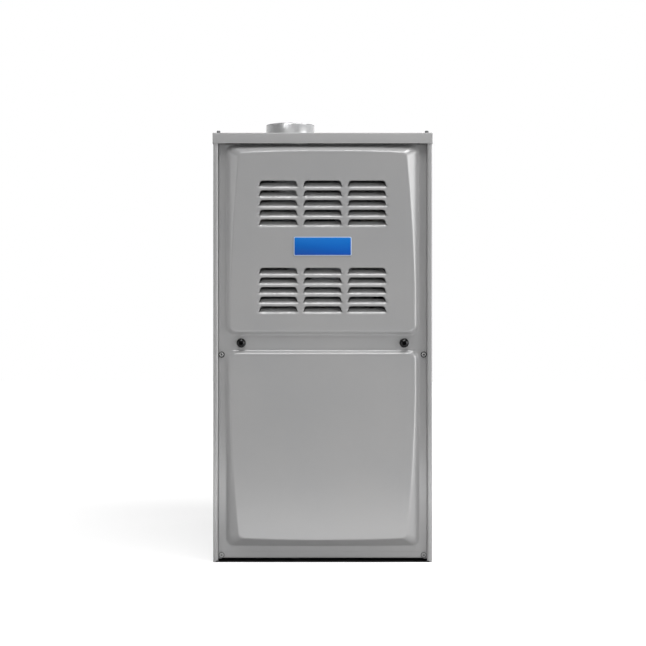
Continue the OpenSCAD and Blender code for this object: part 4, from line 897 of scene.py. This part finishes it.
added = times(given["Added Depth"], maths(group, "POWER", swept, power))
depth = maths(group, "ADD", given["Shallow Depth"], added)
bend = times(power, maths(group, "POWER", swept, maths(group, "SUBTRACT", power, 1.0)))
steepness = maths(group, "DIVIDE", times(bend, given["Added Depth"]), given["Sweep Length"])
forward = times(depth, -1.0)
spot = add(group, "ShaderNodeCombineXYZ", {"X": split["X"], "Y": forward, "Z": up})
lean = add(group, "ShaderNodeCombineXYZ", {"X": maths(group, "ARCTANGENT", steepness)})
move = add(group, "GeometryNodeSetPosition", {"Geometry": grid.outputs[0], "Position": spot.outputs[0]})
spread = add(group, "GeometryNodeInstanceOnPoints", {
    "Points": move.outputs[0], "Instance": given["Geometry"],
    "Rotation": add(group, "FunctionNodeEulerToRotation", {0: lean.outputs[0]}).outputs[0]})
real = add(group, "GeometryNodeRealizeInstances", {0: spread.outputs[0]})
paint = add(group, "GeometryNodeSetMaterial", {"Geometry": real.outputs[0], "Material": given["Material"]})
group.links.new(paint.outputs[0], made.inputs[0])

lip_depth = LIP_RADIUS - math.sqrt(LIP_RADIUS**2 - LIP**2)
crown_length = upper_length - SHALLOW_RUN - END_RUN
for label, first in zip(("lower", "upper"), GROUPS):
    tabs = louver_tab(f"louver_tabs_{label}")
    run_nodes(tabs, group, {
        "Columns": 3, "Rows": 5, "Column Pitch": LOUVER_PITCH_X * MM, "Row Pitch": LOUVER_PITCH_Z * MM,
        "First Row": first * MM, "Shallow Depth": SHALLOW * MM, "Added Depth": (DEEP - SHALLOW) * MM,
        "Sweep Start": (SHALLOW_RUN + SWEEP_START * crown_length) * MM,
        "Sweep Length": (1 - SWEEP_START) * crown_length * MM, "Sweep Power": SWEEP_POWER,
        "Material": PAINT,
    })
    tabs.data.transform(Matrix.Translation(Vector((0, recess_y + lip_depth, door_low[2] + STRIP)) * MM))
    shade(tabs, 25)
    place(tabs, PAINT, "upper_door", "cabinet_paint")

# ---- Badge plate
# A blank plate of stamped sheet, enamelled blue inside a pale rim, stuck to the face of the upper door
# between the two groups of louvers.
badge_low, badge_high, badge_middle = size_of("badge_plate")
badge_w = badge_high[0] - badge_low[0]
badge_h = badge_high[2] - badge_low[2]
badge_v = badge_middle[2] - door_low[2]


def badge_layer(name, inset, radius, base, top, edge):
    """A slab with round corners and a rounded front edge, lying on the door's face."""
    rings = []
    half_x, half_y = badge_w / 2 - inset, badge_h / 2 - inset
    for step, level in ((0, base), (0, top - edge), (edge * 0.3, top - edge * 0.3), (edge, top)):
        ring = rounded_ring(half_x - step, half_y - step, badge_v, max(radius - step, 0.3), level)
        rings.append([(x, recess_y - float(crown_height(v - STRIP, upper_length)) - lift, door_low[2] + v)
                      for x, v, lift in ring])
    obj = lofted(name, rings)
    outward_faces(obj)
    shade(obj, 50)
    return obj


def glossy_enamel(name, *colours):
    """Gloss enamel in one colour, or in two that run from the badge's lower to its upper edge."""
    material, tree = new_material(name)
    inputs = {"Roughness": 0.3, "Specular IOR Level": 0.25, "Base Color": (*colours[0], 1),
              "Normal": raised(tree, noise(tree, 1400.0), 0.02, 0.0002)}
    if len(colours) == 2:
        height = add(tree, "ShaderNodeMapRange", {
            "Value": add(tree, "ShaderNodeSeparateXYZ", {0: on_piece(tree)}).outputs["Z"],
            "From Min": badge_low[2] * MM, "From Max": badge_high[2] * MM})
        ends = zip((0.0, 1.0), colours)
        inputs["Base Color"] = tone_ramp(tree, height.outputs["Result"], *ends)
    coat(tree, inputs)
    return material


rim = badge_layer("badge_rim", 0, 3.0, 0.0, 1.25, 0.5)
place(rim, glossy_enamel("badge_rim_white", (0.38, 0.47, 0.60)), "upper_door", "badge_blue", "badge_plate")
face = badge_layer("badge_face", 1.5, 2.2, 1.1, 1.55, 0.25)
badge_blue = glossy_enamel("badge_blue_enamel", (0.005, 0.062, 0.33), (0.005, 0.135, 0.46))
place(face, badge_blue, "upper_door", "badge_blue")

# ---- Knobs
# Moulded black quarter-turn knobs with a rolled rim and a raised grip with a six-sided hollow. Each turns a
# steel stud that passes through the door into its spring receiver.


def moulded_plastic(name, colour, roughness):
    """Moulded plastic with a fine spark-eroded grain."""
    material, tree = new_material(name)
    grain = noise(tree, 2200.0, 1.0)
    coat(tree, {
        "Base Color": (*colour, 1), "Specular IOR Level": 0.28,
        "Roughness": spread_to(tree, grain, roughness - 0.06, roughness + 0.08),
        "Normal": raised(tree, grain, 0.06, 0.0002),
    })
    return material


def turned_piece(name, profile, place_at, facing, segments=60):
    """A turned closed solid: (radius, height) pairs about an axis that points along facing. A third value
    makes the section there a polygon of that many sides."""
    turn = Vector(facing).to_track_quat("Z", "Y").to_matrix()
    rings = []
    for radius, height, *sides in profile:
        ring = []
        for i in range(segments):
            angle = math.tau * i / segments
            reach = radius
            if sides:
                half = math.pi / sides[0]
                reach *= math.cos(half) / math.cos(angle % (2 * half) - half)
            point = Vector((reach * math.cos(angle), reach * math.sin(angle), height))
            ring.append(Vector(place_at) + turn @ point)
        rings.append(ring)
    obj = lofted(name, rings, closed_ends=profile[0] != profile[-1])
    merge_doubles(obj, 1e-7)
    outward_faces(obj)
    shade(obj, 40)
    return obj


def arc(centre, radius, start, end, steps):
    """Points of a profile's arc, in (radius, height), from a start to an end angle in degrees."""
    angles = [math.radians(start + (end - start) * i / steps) for i in range(steps + 1)]
    return [(centre[0] + radius * math.cos(a), centre[1] + radius * math.sin(a)) for a in angles]


BLACK = moulded_plastic("black_moulding", (0.003, 0.003, 0.0035), 0.20)
KNOB_GAP = 0.3
knob_back = recess_y - KNOB_GAP
stud = size_of("left_knob")[1][1] - knob_back
knob_profile = (
    [(0.05, -stud), (2.2, -stud), (3.0, 0.8 - stud), (3.0, 0.0), (8.6, 0.0)]
    + arc((8.2, 1.2), 1.2, -70, 80, 6)
    + [(7.7, 2.6), (7.3, 2.8), (7.1, 3.4), (7.0, 7.3), (6.9, 7.55), (6.75, 7.7)]
    + [(4.9, 9.05), (4.6, 9.2), (4.4, 9.3), (4.1, 9.2, 6), (3.9, 8.9, 6), (3.8, 5.2, 6), (0.05, 5.2)]
)
for side, label in ((-1, "left"), (1, "right")):
    knob_at = (side * KNOB_X, knob_back, door_low[2] + KNOB_V)
    knob = turned_piece(f"{label}_knob_moulding", knob_profile, knob_at, (0, -1, 0))
    place(knob, BLACK, f"{label}_knob", "black_plastic", f"{label}_knob")

# ---- Screws
# Hex-head sheet-metal screws, zinc plated, with a hollow in the head and a washer or a dark sealing ring
# under it. A thin dark disc in the hollow is painted shade. The dark ring under the head is both the
# seal's own colour and painted shade round the head. On the base screws that ring is zinc darkened as
# painted shade. A node tree puts one on each point of a small mesh, turned to face outwards.


def plated_steel(name, colour, roughness):
    """Plated or coated steel with fine streaks in its gloss."""
    material, tree = new_material(name)
    streak = noise(tree, 260.0, 4.0)
    coat(tree, {
        "Base Color": (*colour, 1), "Metallic": 0.3,
        "Roughness": spread_to(tree, streak, roughness - 0.08, roughness + 0.12),
    })
    return material


group, given, made = node_group("hex_washer_screws", [
    ("Head Radius", NUMBER, 0.004), ("Head Height", NUMBER, 0.003), ("Washer Radius", NUMBER, 0.006),
    ("Washer Height", NUMBER, 0.0008), ("Shank Radius", NUMBER, 0.002), ("Shank Length", NUMBER, 0.01),
    ("Facing", "NodeSocketVector", (0, 0, 1)),
    ("Material", MATERIAL, None), ("Seal And Shade Material", MATERIAL, None),
])
head_parts = add(group, "GeometryNodeJoinGeometry")
seal_and_shade_parts = add(group, "GeometryNodeJoinGeometry")


def screw_part(parts, mesh, offset):
    """Stands a mesh on the screw's axis at an offset, among the parts of one finish."""
    lift = add(group, "ShaderNodeCombineXYZ", {"Z": offset})
    shift = add(group, "GeometryNodeTransform", {"Geometry": mesh, "Translation": lift.outputs[0]})
    group.links.new(shift.outputs[0], parts.inputs[0])


def cone(sides, radius, top_radius, height):
    """A cone or cylinder on its base; its mesh socket."""
    made_cone = add(group, "GeometryNodeMeshCone", {
        "Vertices": sides, "Radius Bottom": radius, "Radius Top": top_radius, "Depth": height})
    return made_cone.outputs["Mesh"]


def circle(points, radius):
    """A round curve; its socket."""
    return add(group, "GeometryNodeCurvePrimitiveCircle", {"Resolution": points, "Radius": radius}).outputs[0]


head_r = given["Head Radius"]
head_h = given["Head Height"]
washer_r = given["Washer Radius"]
washer_h = given["Washer Height"]
shank_r = given["Shank Radius"]
shank_l = given["Shank Length"]
hex_h = times(head_h, 0.7)
hex_top = maths(group, "ADD", washer_h, hex_h)
# The washer takes the seal material: a sealing ring's own dark colour, and painted shade round the head.
screw_part(seal_and_shade_parts, cone(40, washer_r, times(washer_r, 0.94), washer_h), 0.0)
# Painted shade: a thin disc in the seal material lies in the head's hollow, dark where its shadow falls.
screw_part(seal_and_shade_parts, cone(24, times(head_r, 0.46), times(head_r, 0.42), times(head_h, 0.04)), hex_top)
screw_part(head_parts, cone(6, head_r, head_r, hex_h), washer_h)
screw_part(head_parts, cone(16, shank_r, shank_r, shank_l), times(shank_l, -1.0))
rim_mesh = add(group, "GeometryNodeCurveToMesh", {
    "Curve": circle(24, times(head_r, 0.62)), "Profile Curve": circle(10, times(head_h, 0.28))})
screw_part(head_parts, rim_mesh.outputs[0], hex_top)
whole = add(group, "GeometryNodeJoinGeometry")
for parts, label in ((head_parts, "Material"), (seal_and_shade_parts, "Seal And Shade Material")):
    plated = add(group, "GeometryNodeSetMaterial", {"Geometry": parts.outputs[0], "Material": given[label]})
    group.links.new(plated.outputs[0], whole.inputs[0])
align = add(group, "FunctionNodeAlignRotationToVector", {"Vector": given["Facing"]}, axis="Z")
spread = add(group, "GeometryNodeInstanceOnPoints", {
    "Points": given["Geometry"], "Instance": whole.outputs[0], "Rotation": align.outputs[0]})
real = add(group, "GeometryNodeRealizeInstances", {0: spread.outputs[0]})
group.links.new(real.outputs[0], made.inputs[0])
ZINC = plated_steel("zinc_plate", (0.36, 0.36, 0.36), 0.42)
# This dark material colours the sealing rings and also paints the shade in each head's hollow.
SEAL_AND_HOLLOW_SHADE = plated_steel("dark_seal_and_painted_hollow_shade", (0.015, 0.015, 0.015), 0.6)
# Zinc darkened as painted shade, for the base screws' washers and the hollows in their heads.
PAINTED_SHADE_ZINC = plated_steel("zinc_with_painted_shade", (0.15, 0.15, 0.15), 0.5)
DARK_ZINC = plated_steel("dark_zinc_plate", (0.16, 0.16, 0.165), 0.42)


def screw_set(node, spot, facing, sizes, materials, body, slot):
    """One piece with a screw on each side. Sizes: head radius and height, washer's, and shank length."""
    x, y, z = spot
    screws = mesh_object(node + "_heads", [(-x, y, z), (x, y, z)], [])
    labels = ("Head Radius", "Head Height", "Washer Radius", "Washer Height", "Shank Length")
    values = {label: size * MM for label, size in zip(labels, sizes)}
    values["Shank Radius"] = SHANK_R * MM
    values.update({"Facing": facing, "Material": materials[0], "Seal And Shade Material": materials[1]})
    run_nodes(screws, group, values)
    shade(screws, 30)
    place(screws, None, body, slot, node)


SHANK_R = 2.1
margin_screw = (4.6, 3.2, 6.2, 0.8)
cap_screw = (3.7, 4.8, 3.7, 0.2)
screw_set("door_screws", (margin_screw_x, recess_y, door_screw_z), (0, -1, 0), (*margin_screw, 14),
          (ZINC, SEAL_AND_HOLLOW_SHADE), "lower_door", "zinc_screws")
# The base screws' washers and hollows take the zinc darkened as painted shade.
screw_set("base_screws", (margin_screw_x, pan_low[1], base_screw_z), (0, -1, 0), (*margin_screw, 10),
          (ZINC, PAINTED_SHADE_ZINC), "cabinet", "zinc_screws")
screw_set("cap_screws", (cap_screw_x, cap_screw_y, cap_top), (0, 0, 1), (*cap_screw, 10),
          (DARK_ZINC, SEAL_AND_HOLLOW_SHADE), "cabinet", "dark_screws")

# ---- Flue collar
# Spun from galvanised sheet: a neck round the flue pipe, a base flange on the cap and the tube for the
# vent, whose upper edge is rolled over a bead.


def galvanised(name):
    """Zinc-coated steel: small spangles that differ a little in tone and gloss."""
    material, tree = new_material(name)
    spangle = add(tree, "ShaderNodeTexVoronoi", {"Vector": on_piece(tree), "Scale": 210.0})
    grey = add(tree, "ShaderNodeSeparateColor", {"Color": spangle.outputs["Color"]}).outputs
    tones = (0.0, (0.585, 0.59, 0.595)), (1.0, (0.615, 0.62, 0.625))
    coat(tree, {
        "Base Color": tone_ramp(tree, grey["Red"], *tones),
        "Metallic": 0.6,
        "Roughness": spread_to(tree, grey["Green"], 0.25, 0.27),
    })
    return material


GALVANISED = galvanised("galvanised_sheet")
COLLAR_R = 50.5
NECK_R = 38.2
NECK_END = -26.0
collar_h = size_of("flue_collar")[1][2] - cap_top
collar_profile = [(NECK_R, NECK_END), (NECK_R, 1.0), (COLLAR_R - 1.0, 1.0), (COLLAR_R - 1.0, collar_h - 1.6)]
collar_profile += arc((COLLAR_R - 0.8, collar_h - 0.8), 0.8, 180, -70, 8)
collar_profile += [(COLLAR_R, collar_h - 2.4), (COLLAR_R, 2.2)]
collar_profile += arc((COLLAR_R + 1.2, 2.2), 1.2, 180, 270, 4)
collar_profile += [(COLLAR_R + 10.6, 1.0), (COLLAR_R + 11.0, 0.6), (COLLAR_R + 11.0, 0.0)]
collar_profile += [(NECK_R + 1.0, 0.0), (NECK_R + 1.0, NECK_END), collar_profile[0]]
collar = turned_piece("flue_collar_spun", collar_profile, (flue_x, flue_y, cap_top), (0, 0, 1), 128)
place(collar, GALVANISED, "cabinet", "galvanised_steel", "flue_collar")

# ---- Side plug
# A domed plug, moulded in dull black plastic, closes the spare hole in the left wall. It is pushed in from
# outside, and its tapered shank holds it in the sheet.
plug_profile = [(0.05, -5.2), (4.2, -5.2), (4.95, -2.2), (4.95, 0.0), (7.0, 0.0), (7.0, 0.5)]
plug_profile += arc((0.0, -10.3), 12.9, 57, 90, 8)[:-1] + [(0.05, 2.6)]
plug = turned_piece("side_plug_dome", plug_profile, (-half_w, plug_y, plug_z), (-1, 0, 0))
DULL_BLACK = moulded_plastic("dull_black_moulding", (0.02, 0.02, 0.021), 0.55)
place(plug, DULL_BLACK, "cabinet", "matte_black_plastic", "side_plug")

# ---- Inner parts
# The parts behind the doors keep the shapes of the model and take the finishes that such furnaces have:
# galvanised panels, aluminised tubes, a foil blanket, black motors, brass, rubber and moulded switches.


def dull_surface(name, colour, roughness, scale=60.0, spread=0.12, metallic=1.0):
    """A plain surface, metal unless said otherwise, with cloudy changes of tone and gloss."""
    material, tree = new_material(name)
    cloud = noise(tree, scale, 5.0)
    darker = [c * (1 - spread) for c in colour]
    lighter = [min(c * (1 + spread), 1) for c in colour]
    coat(tree, {
        "Base Color": tone_ramp(tree, cloud, (0.3, darker), (0.7, lighter)),
        "Metallic": metallic,
        "Roughness": spread_to(tree, cloud, roughness - 0.08, roughness + 0.08),
    })
    return material


FINISHES = {
    "galvanised_steel": GALVANISED,
    "aluminised_steel": dull_surface("aluminised_sheet", (0.47, 0.45, 0.42), 0.5),
    "liner_foil": dull_surface("foil_blanket", (0.72, 0.71, 0.68), 0.34, 34.0, 0.07),
    "inducer_steel": dull_surface("inducer_coating", (0.22, 0.225, 0.24), 0.5, 80.0, 0.08, 0.0),
    "dark_enamel": dull_surface("motor_enamel", (0.022, 0.023, 0.025), 0.36, 90.0, 0.15, 0.0),
    "black_plastic": BLACK,
    "matte_black_plastic": DULL_BLACK,
    "bright_steel": dull_surface("ground_steel", (0.62, 0.62, 0.63), 0.24, 200.0, 0.05),
    "valve_casting": dull_surface("die_cast_alloy", (0.42, 0.43, 0.44), 0.5, 240.0, 0.08),
    "black_pipe": dull_surface("black_pipe_lacquer", (0.02, 0.02, 0.021), 0.42, 90.0, 0.2, 0.0),
    "brass": dull_surface("turned_brass", (0.66, 0.47, 0.19), 0.3, 120.0, 0.06),
    "ceramic": dull_surface("bare_ceramic", (0.76, 0.72, 0.62), 0.7, 150.0, 0.04, 0.0),
    "rubber": dull_surface("soft_rubber", (0.012, 0.012, 0.012), 0.72, 150.0, 0.2, 0.0),
    "red_rubber": dull_surface("silicone_hose", (0.20, 0.030, 0.018), 0.45, 110.0, 0.1, 0.0),
    "red_plastic": moulded_plastic("red_moulding", (0.42, 0.016, 0.012), 0.32),
    "white_plastic": moulded_plastic("white_moulding", (0.74, 0.71, 0.62), 0.34),
    "circuit_board": dull_surface("solder_mask", (0.012, 0.085, 0.032), 0.38, 300.0, 0.25, 0.0),
    "core_iron": dull_surface("varnished_core", (0.040, 0.036, 0.033), 0.44, 160.0, 0.2, 0.0),
    "capacitor_can": dull_surface("drawn_can", (0.66, 0.67, 0.68), 0.3, 90.0, 0.04),
}
for part in frame["record"]["subparts"]:
    finish = FINISHES.get(part["material_slot"])
    if finish is not None:
        node = frame["nodes"][part["node"]]
        if not node.data.materials:
            node.data.materials.append(finish)
        for i in range(len(node.data.materials)):
            node.data.materials[i] = finish
